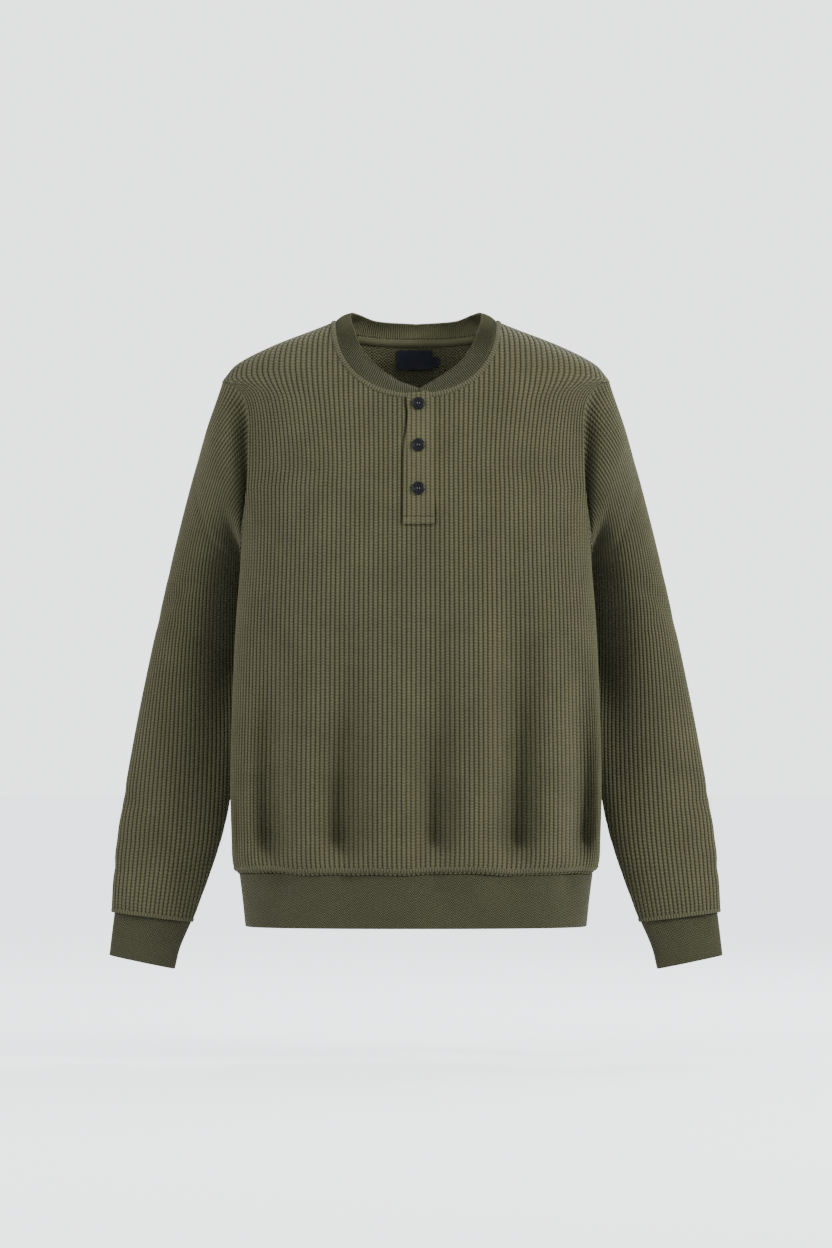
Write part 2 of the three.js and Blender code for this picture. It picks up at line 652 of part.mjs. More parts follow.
// A cuff, its upper edge just under the sleeve's end.
function cuff(side) {
  const rings = CUFF.map((ring) => [1, -1].map((way) => halfRing(ring, way, SLEEVE_SQUARE)));
  const columns = CUFF_COLUMNS * 2;
  const at = (c, r) => {
    const way = c % columns < CUFF_COLUMNS ? 0 : 1;
    const share = (c % CUFF_COLUMNS) / CUFF_COLUMNS;
    const point = rings[r][way].read(way ? 1 - share : share).at;
    point.x *= side;
    return point;
  };
  return plainTube({
    columns,
    rows: CUFF.length - 1,
    wall: BAND_WALL,
    ringAt: at,
    inwardAt: (c, r) => {
      const middle = at(0, r).add(at(CUFF_COLUMNS, r)).multiplyScalar(0.5);
      const across = at(c + 1, r).sub(at(c + columns - 1, r));
      const down = at(c, CUFF.length - 1).sub(at(c, 0));
      const inward = across.cross(down).normalize();
      return inward.dot(middle.sub(at(c, r))) < 0 ? inward.negate() : inward;
    },
  });
}

// The hem band.
function hemBand() {
  const curve = {};
  for (const name of ["half", "front", "back", "square"]) curve[name] = through(HEM_BAND, "z", name);
  const columns = HEM_BAND_COLUMNS * 4;
  const at = (c, r) => {
    const quarter = Math.floor((c % columns) / HEM_BAND_COLUMNS);
    const share = (c % HEM_BAND_COLUMNS) / HEM_BAND_COLUMNS;
    const face = quarter === 0 || quarter === 3 ? "front" : "back";
    const points = outlineAt(HEM_BAND[r].z, face, curve);
    const length = (quarter % 2 ? 1 - share : share) * points[points.length - 1].length;
    const p = alongOutline(points, length);
    return new THREE.Vector3(p.x * (quarter < 2 ? 1 : -1), p.y * (face === "front" ? -1 : 1), HEM_BAND[r].z);
  };
  return plainTube({
    columns,
    rows: HEM_BAND.length - 1,
    wall: BAND_WALL,
    ringAt: at,
    inwardAt: (c, r) => {
      const across = at(c + 1, r).sub(at(c + columns - 1, r));
      const inward = new THREE.Vector3(-across.y, across.x, 0).normalize();
      return inward.dot(at(c, r)) > 0 ? inward.negate() : inward;
    },
  });
}

// The neckline of one side of a panel, from the middle to the shoulder.
function necklineEdge(plan, grid, side) {
  const stops = [];
  const step = 1 / panelHalf;
  for (let share = 0; !plan.endsOnShoulder(share); share += step) {
    const signed = share * side;
    stops.push({ at: grid.surface(signed, panelRowCount), normal: grid.normalAt(signed, panelRowCount) });
  }
  const at = new THREE.Vector3(NECK_HALF * side, 0, 0);
  stops.push({ at, normal: new THREE.Vector3(0.45 * side, 0, 0.9).normalize() });
  return stops;
}

// The neck band: a folded strip that leans in from the neckline, its ends meeting in a notch.
function neckBand() {
  const sides = [1, -1].map((side) => {
    const front = necklineEdge(frontPlan, frontGrid, side);
    const back = necklineEdge(backPlan, backGrid, side).slice(0, -1).reverse();
    const whole = [...front, ...back];
    const startX = side * (NOTCH.x + NOTCH.gap * side);
    const first = whole.findIndex((stop) => stop.at.x * side > startX + 0.5);
    const head = whole[first];
    const begin = { at: head.at.clone().setX(startX * side), normal: head.normal.clone() };
    return new Edge([begin, ...whole.slice(first)]);
  });
  const curve = {};
  for (const name of ["x", "y", "z"]) curve[name] = through(COLLAR_TOP, "turn", name);
  const columns = COLLAR_COLUMNS * 2;
  // Column 0 is the notch on the wearer's left, the last one the notch on the right.
  const share = (c) => (c <= COLLAR_COLUMNS ? c : columns - c) / COLLAR_COLUMNS;
  const sideOf = (c) => (c <= COLLAR_COLUMNS ? 0 : 1);
  const foot = (c) => {
    const edge = sides[sideOf(c)];
    const { at, normal } = edge.read(share(c));
    const away = normal.clone().cross(edge.along(share(c))).normalize();
    if (away.dot(new THREE.Vector3(-at.x, -at.y, 60)) < 0) away.negate();
    return { at: at.addScaledVector(away, COLLAR_GAP), normal };
  };
  const top = (c) => {
    const turn = share(c);
    const side = sideOf(c) ? -1 : 1;
    const shift = side < 0 ? 2 * NOTCH.x * clamp(1 - turn / NOTCH.reach, 0, 1) : 0;
    const x = side * curve.x(turn) + shift + side * NOTCH.gap * clamp(1 - turn / NOTCH.reach, 0, 1);
    return new THREE.Vector3(x, curve.y(turn), curve.z(turn));
  };
  const outward = (c) => {
    const up = top(c).sub(foot(c).at);
    const across = top(Math.min(columns, c + 1)).sub(top(Math.max(0, c - 1)));
    const normal = up.cross(across).normalize();
    return normal.dot(foot(c).normal) < 0 ? normal.negate() : normal;
  };
  return plainTube({
    columns,
    rows: COLLAR_ROWS,
    closed: false,
    wall: BAND_WALL,
    ringAt: (c, r) => {
      const up = r / COLLAR_ROWS;
      const swell = COLLAR_BULGE * 4 * up * (1 - up);
      return foot(c).at.lerp(top(c), up).addScaledVector(outward(c), swell);
    },
    inwardAt: (c, r) => (r === 0 ? foot(c).normal : outward(c)).clone().negate(),
  });
}

// The share of the front panel that lies at a given x, on one of its rows.
const frontShareAtX = (x, row) => {
  const limit = frontPlan.armShare * 0.4;
  return crossing((share) => frontGrid.surface(share, row).x - x, -limit, limit);
};
const slitX = (group, row) => frontGrid.surface((group * GROUP) / panelHalf, row).x;
const placketEdgeAt = through(PLACKET_EDGE, "z", "x");

// A point of the placket's overlap: u runs from its free edge to where it is let in, flush.
function placketPoint(u, row, lift) {
  const left = placketEdgeAt(frontGrid.surface(0, row).z);
  const right = slitX(SLIT_GROUPS.right, Math.max(row, SLIT_ROW)) - SEAM_GAP - 0.1;
  const share = frontShareAtX(lerp(left, right, u), row);
  const level = row <= SLIT_ROW ? 1 : 1 - ease(clamp((u - 0.45) / 0.55, 0, 1));
  const height = level * PLACKET_LIFT + lift;
  return frontGrid.surface(share, row).addScaledVector(frontGrid.normalAt(share, row), height);
}

function placketTop() {
  const rows = [PLACKET_BOTTOM_ROW];
  for (let row = SLIT_ROW; row <= panelRowCount; row += 1) rows.push(row);
  const columns = PLACKET_RIBS * COLUMNS_PER_RIB;
  const place = (c, r, lift) => placketPoint(c / columns, rows[r], lift);
  return wallOfGrid({
    firstGroup: 0,
    lastGroup: PLACKET_RIBS,
    rows: rows.length - 1,
    group: COLUMNS_PER_RIB,
    outer: (c, r) => place(c, r, isCrest(c) ? 0 : -RIB_RISE),
    inner: (c, r) => place(c, r, -WAFFLE_WALL),
    has: (g, r) => r >= 0 && r < rows.length - 1 && g >= 0 && g < PLACKET_RIBS,
  });
}

// The button stand behind the opening.
function placketUnder() {
  const rows = panelRowCount - 1 - SLIT_ROW;
  const place = (c, r, sink) => {
    const row = r + SLIT_ROW;
    const left = slitX(SLIT_GROUPS.left, row) - UNDERLAP_EXTRA;
    const right = slitX(SLIT_GROUPS.right, row) + UNDERLAP_EXTRA;
    const share = frontShareAtX(lerp(left, right, c / UNDERLAP_COLUMNS), row);
    return frontGrid.surface(share, row).addScaledVector(frontGrid.normalAt(share, row), -sink);
  };
  const sink = WAFFLE_WALL + SEAM_GAP + 0.1;
  return wallOfGrid({
    firstGroup: 0,
    lastGroup: UNDERLAP_COLUMNS,
    rows,
    group: 1,
    outer: (c, r) => place(c, r, sink),
    inner: (c, r) => place(c, r, sink + UNDERLAP_WALL),
    has: (g, r) => r >= 0 && r < rows && g >= 0 && g < UNDERLAP_COLUMNS,
  });
}

// Turns a three.js geometry into a solid and back.
function solidOf(geometry) {
  const bare = geometry.clone();
  for (const name of ["normal", "uv"]) bare.deleteAttribute(name);
  const merged = mergeVertices(bare, 1e-4);
  return new wasm.Manifold(
    new wasm.Mesh({
      numProp: 3,
      vertProperties: new Float32Array(merged.getAttribute("position").array),
      triVerts: new Uint32Array(merged.getIndex().array),
    }),
  );
}
function geometryOf(solid) {
  const { vertProperties, triVerts } = solid.getMesh();
  const geometry = new THREE.BufferGeometry();
  geometry.setAttribute("position", new THREE.Float32BufferAttribute(vertProperties, 3));
  geometry.setIndex([...triVerts]);
  geometry.computeVertexNormals();
  return geometry;
}

// A button with a raised rim, a dished middle and four holes, lying face up on z = 0.
function buttonGeometry() {
  const { radius, thick, rim, dish, hole, spread, sides } = BUTTON;
  const profile = [
    [0, 0],
    [radius - 0.7, 0],
    [radius, 1],
    [radius - 0.5, thick - 0.3],
    [radius - rim, thick],
    [radius - rim - 1, thick - dish],
    [0, thick - dish],
  ].map(([r, z]) => new THREE.Vector2(r, z));
  const disc = new THREE.LatheGeometry(profile, sides).rotateX(Math.PI / 2);
  let solid = solidOf(disc);
  for (let i = 0; i < 4; i += 1) {
    const angle = Math.PI / 4 + (i * Math.PI) / 2;
    const drill = new THREE.CylinderGeometry(hole, hole, thick * 3, 6).rotateX(Math.PI / 2);
    drill.translate(spread * Math.cos(angle), spread * Math.sin(angle), 0);
    solid = solid.subtract(solidOf(drill));
  }
  return geometryOf(solid);
}

// A patch of thin cloth on the inside of the back, its lower edge standing a little off.
function backPatch({ x, z, wide, tall, wall, bow, columns, rows }) {
  const place = (c, r, depth) => {
    const height = z - tall / 2 + (tall * r) / rows;
    const points = outlineAt(height, "back");
    const across = x - wide / 2 + (wide * c) / columns;
    const y = points.find((p) => p.x >= Math.abs(across)).y;
    const off = bow * (1 - r / rows) ** 2 * (1 - 0.6 * (2 * (c / columns) - 1) ** 2);
    return new THREE.Vector3(across, y - WAFFLE_WALL - LABEL_CLEARANCE - off - depth, height);
  };
  return wallOfGrid({
    firstGroup: 0,
    lastGroup: columns,
    rows,
    group: 1,
    outer: (c, r) => place(c, r, 0),
    inner: (c, r) => place(c, r, wall),
    has: (g, r) => r >= 0 && r < rows && g >= 0 && g < columns,
  });
}

// The neck tape, along the back neckline inside.
function neckTape() {
  const place = (c, r, sink) => {
    const share = (c * GROUP) / panelHalf;
    const row = panelRowCount - TAPE.drop * (1 - r);
    return backGrid.surface(share, row).addScaledVector(backGrid.normalAt(share, row), -sink);
  };
  const sink = WAFFLE_WALL + SEAM_GAP + 0.1;
  return wallOfGrid({
    firstGroup: -TAPE.groups,
    lastGroup: TAPE.groups,
    rows: 1,
    group: 1,
    outer: (c, r) => place(c, r, sink),
    inner: (c, r) => place(c, r, sink + TAPE.wall),
    has: (g, r) => r === 0 && g >= -TAPE.groups && g < TAPE.groups,
  });
}

const frontPlan = panelPlan("front", FRONT_FOLDS);
const backPlan = panelPlan("back", BACK_FOLDS);
const frontGrid = panelGrid(frontPlan);
const backGrid = panelGrid(backPlan);

const shirt = new THREE.Group();
function piece(name, geometry, look) {
  const mesh = new THREE.Mesh(geometry, new THREE.MeshStandardMaterial(look));
  mesh.name = name;
  shirt.add(mesh);
  return mesh;
}
piece("front_panel", bodyPanel(frontGrid, SLIT_GROUPS), OLIVE);
piece("back_panel", bodyPanel(backGrid, null), OLIVE);
for (const [name, side] of [
  ["left", 1],
  ["right", -1],
]) {
  piece(`sleeve_${name}`, sleeve(side), OLIVE);
  piece(`cuff_${name}`, cuff(side), OLIVE_BAND);
}
piece("hem_band", hemBand(), OLIVE_BAND);
piece("neck_band", neckBand(), OLIVE_BAND);
piece("placket_top", placketTop(), OLIVE);
piece("placket_under", placketUnder(), OLIVE);
piece("neck_tape", neckTape(), OLIVE_BAND);
piece("label", backPatch(LABEL), NAVY);
piece("size_tab", backPatch(TAB), NAVY);

// Each button lies on the overlap, square to it.
BUTTON_HEIGHTS.forEach((z, i) => {
  const row = crossing((r) => frontGrid.surface(0, r).z - z, SLIT_ROW, panelRowCount);
  const left = placketEdgeAt(z);
  const right = slitX(SLIT_GROUPS.right, row);
  const u = (BUTTON_X - left) / (right - left);
  const button = piece(`button_${i + 1}`, buttonGeometry(), HORN);
  const share = frontShareAtX(BUTTON_X, row);
  button.position.copy(placketPoint(u, row, SEAM_GAP));
  button.quaternion.setFromUnitVectors(new THREE.Vector3(0, 0, 1), frontGrid.normalAt(share, row));
});

export default shirt;
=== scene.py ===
"""A henley shirt in chunky olive waffle knit, hollow and open as it hangs on a wearer.

Lengths in this file are millimetres until a mesh is made, which puts them in metres. +Z is up, -Y is
the front of the shirt and +X is the wearer's left.
"""

import logging
from collections.abc import Callable, Sequence
from dataclasses import dataclass, field
from enum import Enum

import bmesh
import bpy
import numpy as np
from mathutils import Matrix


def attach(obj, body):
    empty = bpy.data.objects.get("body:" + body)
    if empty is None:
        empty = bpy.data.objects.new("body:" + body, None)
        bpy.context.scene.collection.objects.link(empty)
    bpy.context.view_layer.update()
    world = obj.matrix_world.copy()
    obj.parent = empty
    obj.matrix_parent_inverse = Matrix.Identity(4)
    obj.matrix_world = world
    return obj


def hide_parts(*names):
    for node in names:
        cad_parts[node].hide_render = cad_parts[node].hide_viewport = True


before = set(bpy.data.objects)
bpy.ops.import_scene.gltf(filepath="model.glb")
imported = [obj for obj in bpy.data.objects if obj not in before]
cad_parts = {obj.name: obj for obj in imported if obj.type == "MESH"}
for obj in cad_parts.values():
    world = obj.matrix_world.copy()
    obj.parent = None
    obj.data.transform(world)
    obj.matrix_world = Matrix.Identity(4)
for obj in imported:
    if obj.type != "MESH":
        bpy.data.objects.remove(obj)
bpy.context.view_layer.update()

MM = 0.001
TAU = 2 * np.pi

SIDES = {1: "left", -1: "right"}  # the wearer's, by the sign of x

log = logging.getLogger("henley")


class Face(Enum):
    """The two halves of the body, by the sign of y."""

    FRONT = -1
    BACK = 1


class Slot(Enum):
    """The record's material slots."""

    WAFFLE = "waffle_knit"
    BAND = "band_knit"
    LABEL = "label_weave"
    BUTTON = "button_horn"


# Numbers and curves.


def ease(t: np.ndarray) -> np.ndarray:
    """Smooth step: 3t^2 - 2t^3 between 0 and 1."""
    t = np.clip(t, 0.0, 1.0)
    return t * t * (3 - 2 * t)


def unit(v: np.ndarray) -> np.ndarray:
    """Vectors divided by their length along the last axis."""
    return v / np.maximum(np.linalg.norm(v, axis=-1, keepdims=True), 1e-9)


def curve_through(keys: Sequence[float], values: np.ndarray, at: np.ndarray) -> np.ndarray:
    """Read a smooth curve through points.

    Each stretch is a cubic whose end slopes are those of the chord between the neighbours on each side.

    Args:
        keys: the rising positions of the points.
        values: a value for each, numbers or rows.
        at: where to read the curve.

    Returns:
        The values there, with the shape of at, and the row's shape after it.
    """
    keys, values, at = np.asarray(keys, float), np.asarray(values, float), np.asarray(at, float)
    last = len(keys) - 1
    ahead, behind = np.minimum(np.arange(last + 1) + 1, last), np.maximum(np.arange(last + 1) - 1, 0)
    tail = (1,) * (values.ndim - 1)
    slope = (values[ahead] - values[behind]) / (keys[ahead] - keys[behind]).reshape(-1, *tail)
    i = np.clip(np.searchsorted(keys, at, side="right") - 1, 0, last - 1)
    span = keys[i + 1] - keys[i]
    t = np.clip((at - keys[i]) / span, 0, 1).reshape(*at.shape, *tail)
    span = span.reshape(*at.shape, *tail)
    a, b, p, q = values[i], values[i + 1], slope[i] * span, slope[i + 1] * span
    return a + t * (p + t * (3 * (b - a) - 2 * p - q + t * (2 * (a - b) + p + q)))


def bisect(f: Callable[[np.ndarray], np.ndarray], low: np.ndarray, high: np.ndarray) -> np.ndarray:
    """Find where a rising function of whole arrays crosses zero, by halving the interval 40 times."""
    low, high = np.array(low, float), np.array(high, float)
    for _ in range(40):
        middle = (low + high) / 2
        above = f(middle) > 0
        low, high = np.where(above, low, middle), np.where(above, middle, high)
    return (low + high) / 2


def grid_normals(grid: np.ndarray) -> np.ndarray:
    """The unit normals of a grid of points, from the cross product of its two central differences."""
    return unit(np.cross(np.gradient(grid, axis=1), np.gradient(grid, axis=0)))


def run_lengths(path: np.ndarray) -> np.ndarray:
    """The length along a path at each of its points, in rows."""
    steps = np.linalg.norm(np.diff(path, axis=0), axis=-1)
    return np.concatenate([[0.0], np.cumsum(steps)])


def read_rows(at: np.ndarray, keys: np.ndarray, rows: np.ndarray) -> np.ndarray:
    """Rows of numbers read between their keys, joined by straight lines."""
    return np.stack([np.interp(at, keys, rows[:, k]) for k in range(rows.shape[1])], axis=-1)


def read_path(path: np.ndarray, share: np.ndarray) -> np.ndarray:
    """The points of a path at shares of its length, joined by straight lines."""
    lengths = run_lengths(path)
    return read_rows(np.asarray(share, float) * lengths[-1], lengths, path)


def heading(path: np.ndarray, share: np.ndarray, step: float) -> np.ndarray:
    """The way a path runs at shares of its length, as unit vectors."""
    return unit(read_path(path, np.clip(share + step, 0, 1)) - read_path(path, np.clip(share - step, 0, 1)))


def bell(off: np.ndarray, width: float | np.ndarray) -> np.ndarray:
    """A Gaussian: 1 in the middle and 1/e at the width."""
    return np.exp(-((off / width) ** 2))


# The cloth and its form, in the same driving sizes as the frame's solids.

VALLEY_WALL = 1.3
RIB_RISE = 1.2
WAFFLE_WALL = VALLEY_WALL + RIB_RISE
RIB_DEPTH = 1.15  # from a rib's crest down to the sharp valley beside it
BAND_WALL = 2.4
SEAM_GAP = 0.3
SIDE_LAP = 0.25  # how far front and back reach past each other at the side and shoulder seams
COURSE = 3.55  # the height of one stitch in a rib
RIB_POINTS = 6  # points across one rib

HEM_SEAM_Z = -640.0
LIP_Z = -631.0
TIP_Z = -72.0
TORSO = np.array(
    [  # z, half width, front depth, back depth, exponent of the section
        (-640, 205.5, 97, 92, 2.5),
        (-631, 212, 104, 99, 2.5),
        (-600, 214, 105, 99, 2.5),
        (-540, 215.5, 105, 97, 2.45),
        (-450, 213.5, 106, 94, 2.4),
        (-350, 209, 110, 95, 2.4),
        (-277, 203.5, 113, 100, 2.4),
        (-230, 203.5, 112, 104, 2.35),
        (-184, 208, 106, 105, 2.3),
        (-135, 217.5, 95, 101, 2.3),
        (-98, 224, 83, 92, 2.3),
        (-72, 225, 73, 84, 2.25),
        (-61, 218, 68, 80, 2.2),
        (-52, 210, 64, 77, 2.2),
        (-43, 196, 60, 73, 2.15),
        (-34, 178, 56, 69, 2.1),
        (-24, 155, 50, 64, 2.1),
        (-10, 118, 42, 57, 2.0),
        (0, 93, 36, 52, 2.0),
    ]
)

ARMHOLE_MIDDLE_Z = -170.0
ARMHOLE_HALF_HEIGHT = 98.0
ARMHOLE_HALF_DEPTH = 50.0
ARMHOLE_LEAN = 0.68
FAN_Z = -172.0  # above this the ribs fan out to the shoulder
PANEL_RIBS = 96
ARM_SHARE = 80 / 96  # the share of a panel's half width that ends on the armhole's upright stretch

NECK_HALF = 93.0
NECK_SQUARE = 2.2
NECK_DROP = {Face.FRONT: 86.0, Face.BACK: 17.5}

HEM_PANEL_HALF = 230.0  # turns a panel's share into a rough place along the hem
CREASE_PANEL_HALF = 240.0  # turns a panel's share into a rough length of cloth
FOLD_AT_SEAM = 0.18  # what the hem seam leaves of a fold's depth
FOLD_GATHER = 46.0  # the height over which it does so
FOLD_EDGE = 40.0  # folds die away over this depth of the body beside the side seams
ARMHOLE_FOOT_RISE = 2.5  # how far the panels' feet reach up under the sleeves at the underarm
SLEEVE_UNDERLAP = 0.5  # how far a sleeve's first row reaches under the panels' edges
WRONG_SIDE_RIB = 5.0  # the knit map's millimetres in one rib on the wrong side

PLACKET_EDGE = np.array(
    [  # z, x of the overlap's free edge
        (-240, -15),
        (-191, -14.3),
        (-152, -13.6),
        (-128, -10.9),
        (-109, -9.6),
        (-96, -10.9),
        (-89, -9.6),
        (-85.5, -7.5),
        (-83, -3.5),
    ]
)


def placket_edge(z: np.ndarray) -> np.ndarray:
    """The x of the placket's free edge at a height."""
    return curve_through(PLACKET_EDGE[:, 0], PLACKET_EDGE[:, 1], z)


@dataclass(frozen=True)
class Fold:
    """A soft trough that runs up from the hem.

    across is its place over the panel, from -1 to 1, and width and lean, how far it moves over on its
    way up, are shares of the panel's half width. depth is in millimetres, and fades is the height at
    which it has died away.
    """

    across: float
    depth: float
    width: float
    fades: float
    lean: float = 0.0


FOLDS = {
    Face.FRONT: (
        Fold(-0.64, 48.0, 0.074, -290, -0.02),
        Fold(-0.325, 50.0, 0.076, -280, 0.015),
        Fold(0.08, 46.0, 0.073, -290, -0.015),
        Fold(0.43, 56.0, 0.078, -185, 0.03),
        Fold(0.755, 50.0, 0.064, -310, 0.01),
        Fold(-0.84, 7.0, 0.03, -500),
        Fold(0.3, 6.0, 0.028, -540),
        Fold(-0.07, 5.0, 0.028, -550),
    ),
    Face.BACK: (
        Fold(-0.68, 17.0, 0.055, -420, 0.03),
        Fold(-0.34, 20.0, 0.062, -330, -0.02),
        Fold(0.02, 15.0, 0.055, -430),
        Fold(0.36, 20.0, 0.062, -290, 0.03),
        Fold(0.7, 17.0, 0.052, -410, -0.03),
        Fold(-0.87, 5.0, 0.03, -500),
        Fold(0.2, 4.5, 0.03, -530),
    ),
}


@dataclass(frozen=True)
class Crease:
    """A slanted drag line in the cloth: a trough from one (share, z) to another."""

    start: tuple[float, float]
    end: tuple[float, float]
    depth: float
    width: float  # mm


CREASES = {
    Face.FRONT: (
        Crease((0.8, -205), (0.5, -285), 2.6, 11),
        Crease((-0.8, -205), (-0.52, -280), 2.4, 11),
        Crease((0.86, -262), (0.66, -352), 2.4, 10),
        Crease((-0.86, -260), (-0.68, -340), 2.2, 10),
    ),
    Face.BACK: (
        Crease((0.79, -200), (0.42, -262), 2.8, 13),
        Crease((-0.79, -200), (-0.45, -255), 2.8, 13),
        Crease((0.85, -255), (0.6, -345), 2.6, 11),
        Crease((-0.85, -258), (-0.62, -352), 2.6, 11),
    ),
}


class BodyForm:
    """The body's hollow form: horizontal sections, the armhole and the neckline.

    A section at height z is the superellipse |x / half|^n + |y / depth|^n = 1, read by length of cloth
    from the middle of the front or back. Tables over z and share of length make every reading an
    interpolation of whole arrays.
    """

    LEVELS = 720
    STEPS = 180

    def __init__(self) -> None:
        """Tabulate the sections of both faces and the length of cloth up to the armhole."""
        self.z = np.linspace(HEM_SEAM_Z - 1, 0, self.LEVELS)
        half, front, back, square = (curve_through(TORSO[:, 0], TORSO[:, k], self.z) for k in range(1, 5))
        angle = np.linspace(0, np.pi / 2, 361)
        shares = np.linspace(0, 1, self.STEPS + 1)
        self.x, self.y, self.length, self.arm = {}, {}, {}, {}
        turn = self.armhole_turn(self.z)
        arm_depth = self.armhole_depth(turn)
        for face, depth in ((Face.FRONT, front), (Face.BACK, back)):
            x = half[:, None] * np.sin(angle) ** (2 / square[:, None])
            y = depth[:, None] * np.maximum(np.cos(angle), 0) ** (2 / square[:, None])
            y[:, -1] = 0
            steps = np.hypot(np.diff(x, axis=1), np.diff(y, axis=1))
            run = np.concatenate([np.zeros((len(self.z), 1)), np.cumsum(steps, axis=1)], axis=1)
            rows = range(len(self.z))
            self.length[face] = run[:, -1]
            self.x[face] = np.array([np.interp(shares * run[i, -1], run[i], x[i]) for i in rows])
            self.y[face] = np.array([np.interp(shares * run[i, -1], run[i], y[i]) for i in rows])
            self.arm[face] = np.array([np.interp(arm_depth[i], y[i, ::-1], run[i, ::-1]) for i in rows])
        self.split = {face: self._corner(face) for face in Face}

    @staticmethod
    def armhole_z(turn: np.ndarray) -> np.ndarray:
        """The armhole's height, as turn runs from 0 at the shoulder tip to 1 at the underarm."""
        return ARMHOLE_MIDDLE_Z + ARMHOLE_HALF_HEIGHT * np.cos(np.pi * turn)

    @staticmethod
    def armhole_turn(z: np.ndarray) -> np.ndarray:
        """The inverse of armhole_z."""
        return np.arccos(np.clip((z - ARMHOLE_MIDDLE_Z) / ARMHOLE_HALF_HEIGHT, -1, 1)) / np.pi

    @staticmethod
    def armhole_depth(turn: np.ndarray) -> np.ndarray:
        """How far the armhole's edge stands before or behind the side seam."""
        return ARMHOLE_HALF_DEPTH * np.sin(np.pi * np.clip(turn, 0, 1) ** ARMHOLE_LEAN)

    def _corner(self, face: Face) -> float:
        """The height where the column that borders the armhole meets its lower curve."""
        inside = self.z < ARMHOLE_MIDDLE_Z + 0.3 * ARMHOLE_HALF_HEIGHT
        share = (self.arm[face] / self.length[face])[inside]
        z = self.z[inside]
        above = z > ARMHOLE_MIDDLE_Z - 0.999 * ARMHOLE_HALF_HEIGHT
        return float(np.interp(-ARM_SHARE, -share[above], z[above]))

    def total(self, face: Face, z: np.ndarray) -> np.ndarray:
        """The length of cloth from the middle to the side seam."""
        return np.interp(z, self.z, self.length[face])

    def section(self, face: Face, z: np.ndarray, length: np.ndarray) -> tuple[np.ndarray, np.ndarray]:
        """Read a section at a length of cloth from the middle, by interpolating the tables twice.

        Args:
            face: the half of the body.
            z: heights.
            length: signed lengths, of the same shape.

        Returns:
            x, and the depth y before or behind the side seams.
        """
        level = np.clip((z - self.z[0]) / (self.z[1] - self.z[0]), 0, self.LEVELS - 1.001)
        i = level.astype(int)
        t = level - i
        step = np.clip(np.abs(length) / self.total(face, z), 0, 1) * self.STEPS
        j = np.minimum(step.astype(int), self.STEPS - 1)
        s = step - j

        def read(table: np.ndarray) -> np.ndarray:
            """A table's values, between its levels and its steps."""
            low = table[i, j] * (1 - s) + table[i, j + 1] * s
            high = table[i + 1, j] * (1 - s) + table[i + 1, j + 1] * s
            return low * (1 - t) + high * t

        return np.sign(length) * read(self.x[face]), read(self.y[face])

    def reach(self, face: Face, share: np.ndarray, z: np.ndarray) -> np.ndarray:
        """How far from the middle a column lies, along the cloth.

        Below the armhole's corner a column keeps its share of the panel. Above it the columns near the
        middle run on straight, and the farther ones draw in beside the armhole and fan out again to the
        shoulder, by the power 2.4 of their share. Where the armhole's edge turns in sharply near the
        shoulder tip, the columns beside it follow by the fourth power of their share, and the farther
        ones more softly, by a mean over up to 40 mm of height.
        """
        tip = np.interp(TIP_Z, self.z, self.length[face])
        narrow = np.interp(FAN_Z, self.z, self.arm[face])

        def fan(at: np.ndarray) -> np.ndarray:
            """How far the outermost column lies if the armhole's edge doesn't turn in."""
            rise = ease((at - FAN_Z) / (TIP_Z - FAN_Z))
            return np.where(at > FAN_Z, narrow + (tip - narrow) * rise, np.interp(at, self.z, self.arm[face]))

        def turned_in(at: np.ndarray) -> np.ndarray:
            """How far the armhole's edge turns in from there."""
            arm = np.where(at >= TIP_Z, tip, np.interp(at, self.z, self.arm[face]))
            return fan(at) - arm

        r = np.clip(np.abs(share) / ARM_SHARE, 0, 1)
        soft = sum(turned_in(z + 40 * (1 - r) * k) for k in np.linspace(-1, 1, 7)) / 7
        straight = ARM_SHARE * np.interp(self.split[face], self.z, self.length[face])
        above = np.sign(share) * (r * straight + (fan(z) - straight) * r**2.4 - soft * r**4)
        return np.where(z <= self.split[face], share * self.total(face, z), above)

    def neck_half(self, face: Face, z: np.ndarray) -> np.ndarray:
        """Half the neckline's width at a height."""
        low = np.clip(-z / NECK_DROP[face], 0, 1) ** NECK_SQUARE
        return NECK_HALF * np.clip(1 - low, 0, 1) ** (1 / NECK_SQUARE)

    def on_shoulder(self, face: Face, share: np.ndarray) -> np.ndarray:
        """Whether a column ends on the shoulder seam, not on the neckline."""
        size = np.abs(share)
        zero = np.zeros_like(size)
        return (size <= ARM_SHARE + 1e-9) & (self.reach(face, size, zero) >= self.total(face, zero))

    def top(self, face: Face, share: np.ndarray) -> np.ndarray:
        """A column's highest z: on the armhole's lower curve, the shoulder seam or the neckline."""
        size = np.abs(np.asarray(share, float))
        foot = size > ARM_SHARE + 1e-9
        low = np.full_like(size, ARMHOLE_MIDDLE_Z - ARMHOLE_HALF_HEIGHT)
        foot_z = bisect(
            lambda z: size - np.interp(z, self.z, self.arm[face]) / self.total(face, z),
            low,
            np.full_like(size, self.split[face]),
        )

        def past_shoulder(z: np.ndarray) -> np.ndarray:
            """Above zero where a column has passed the shoulder seam."""
            return self.reach(face, size, z) - self.total(face, z)

        def past_neck(z: np.ndarray) -> np.ndarray:
            """Above zero where a column has passed the neckline."""
            x, _ = self.section(face, z, self.reach(face, size, z))
            return self.neck_half(face, z) - x

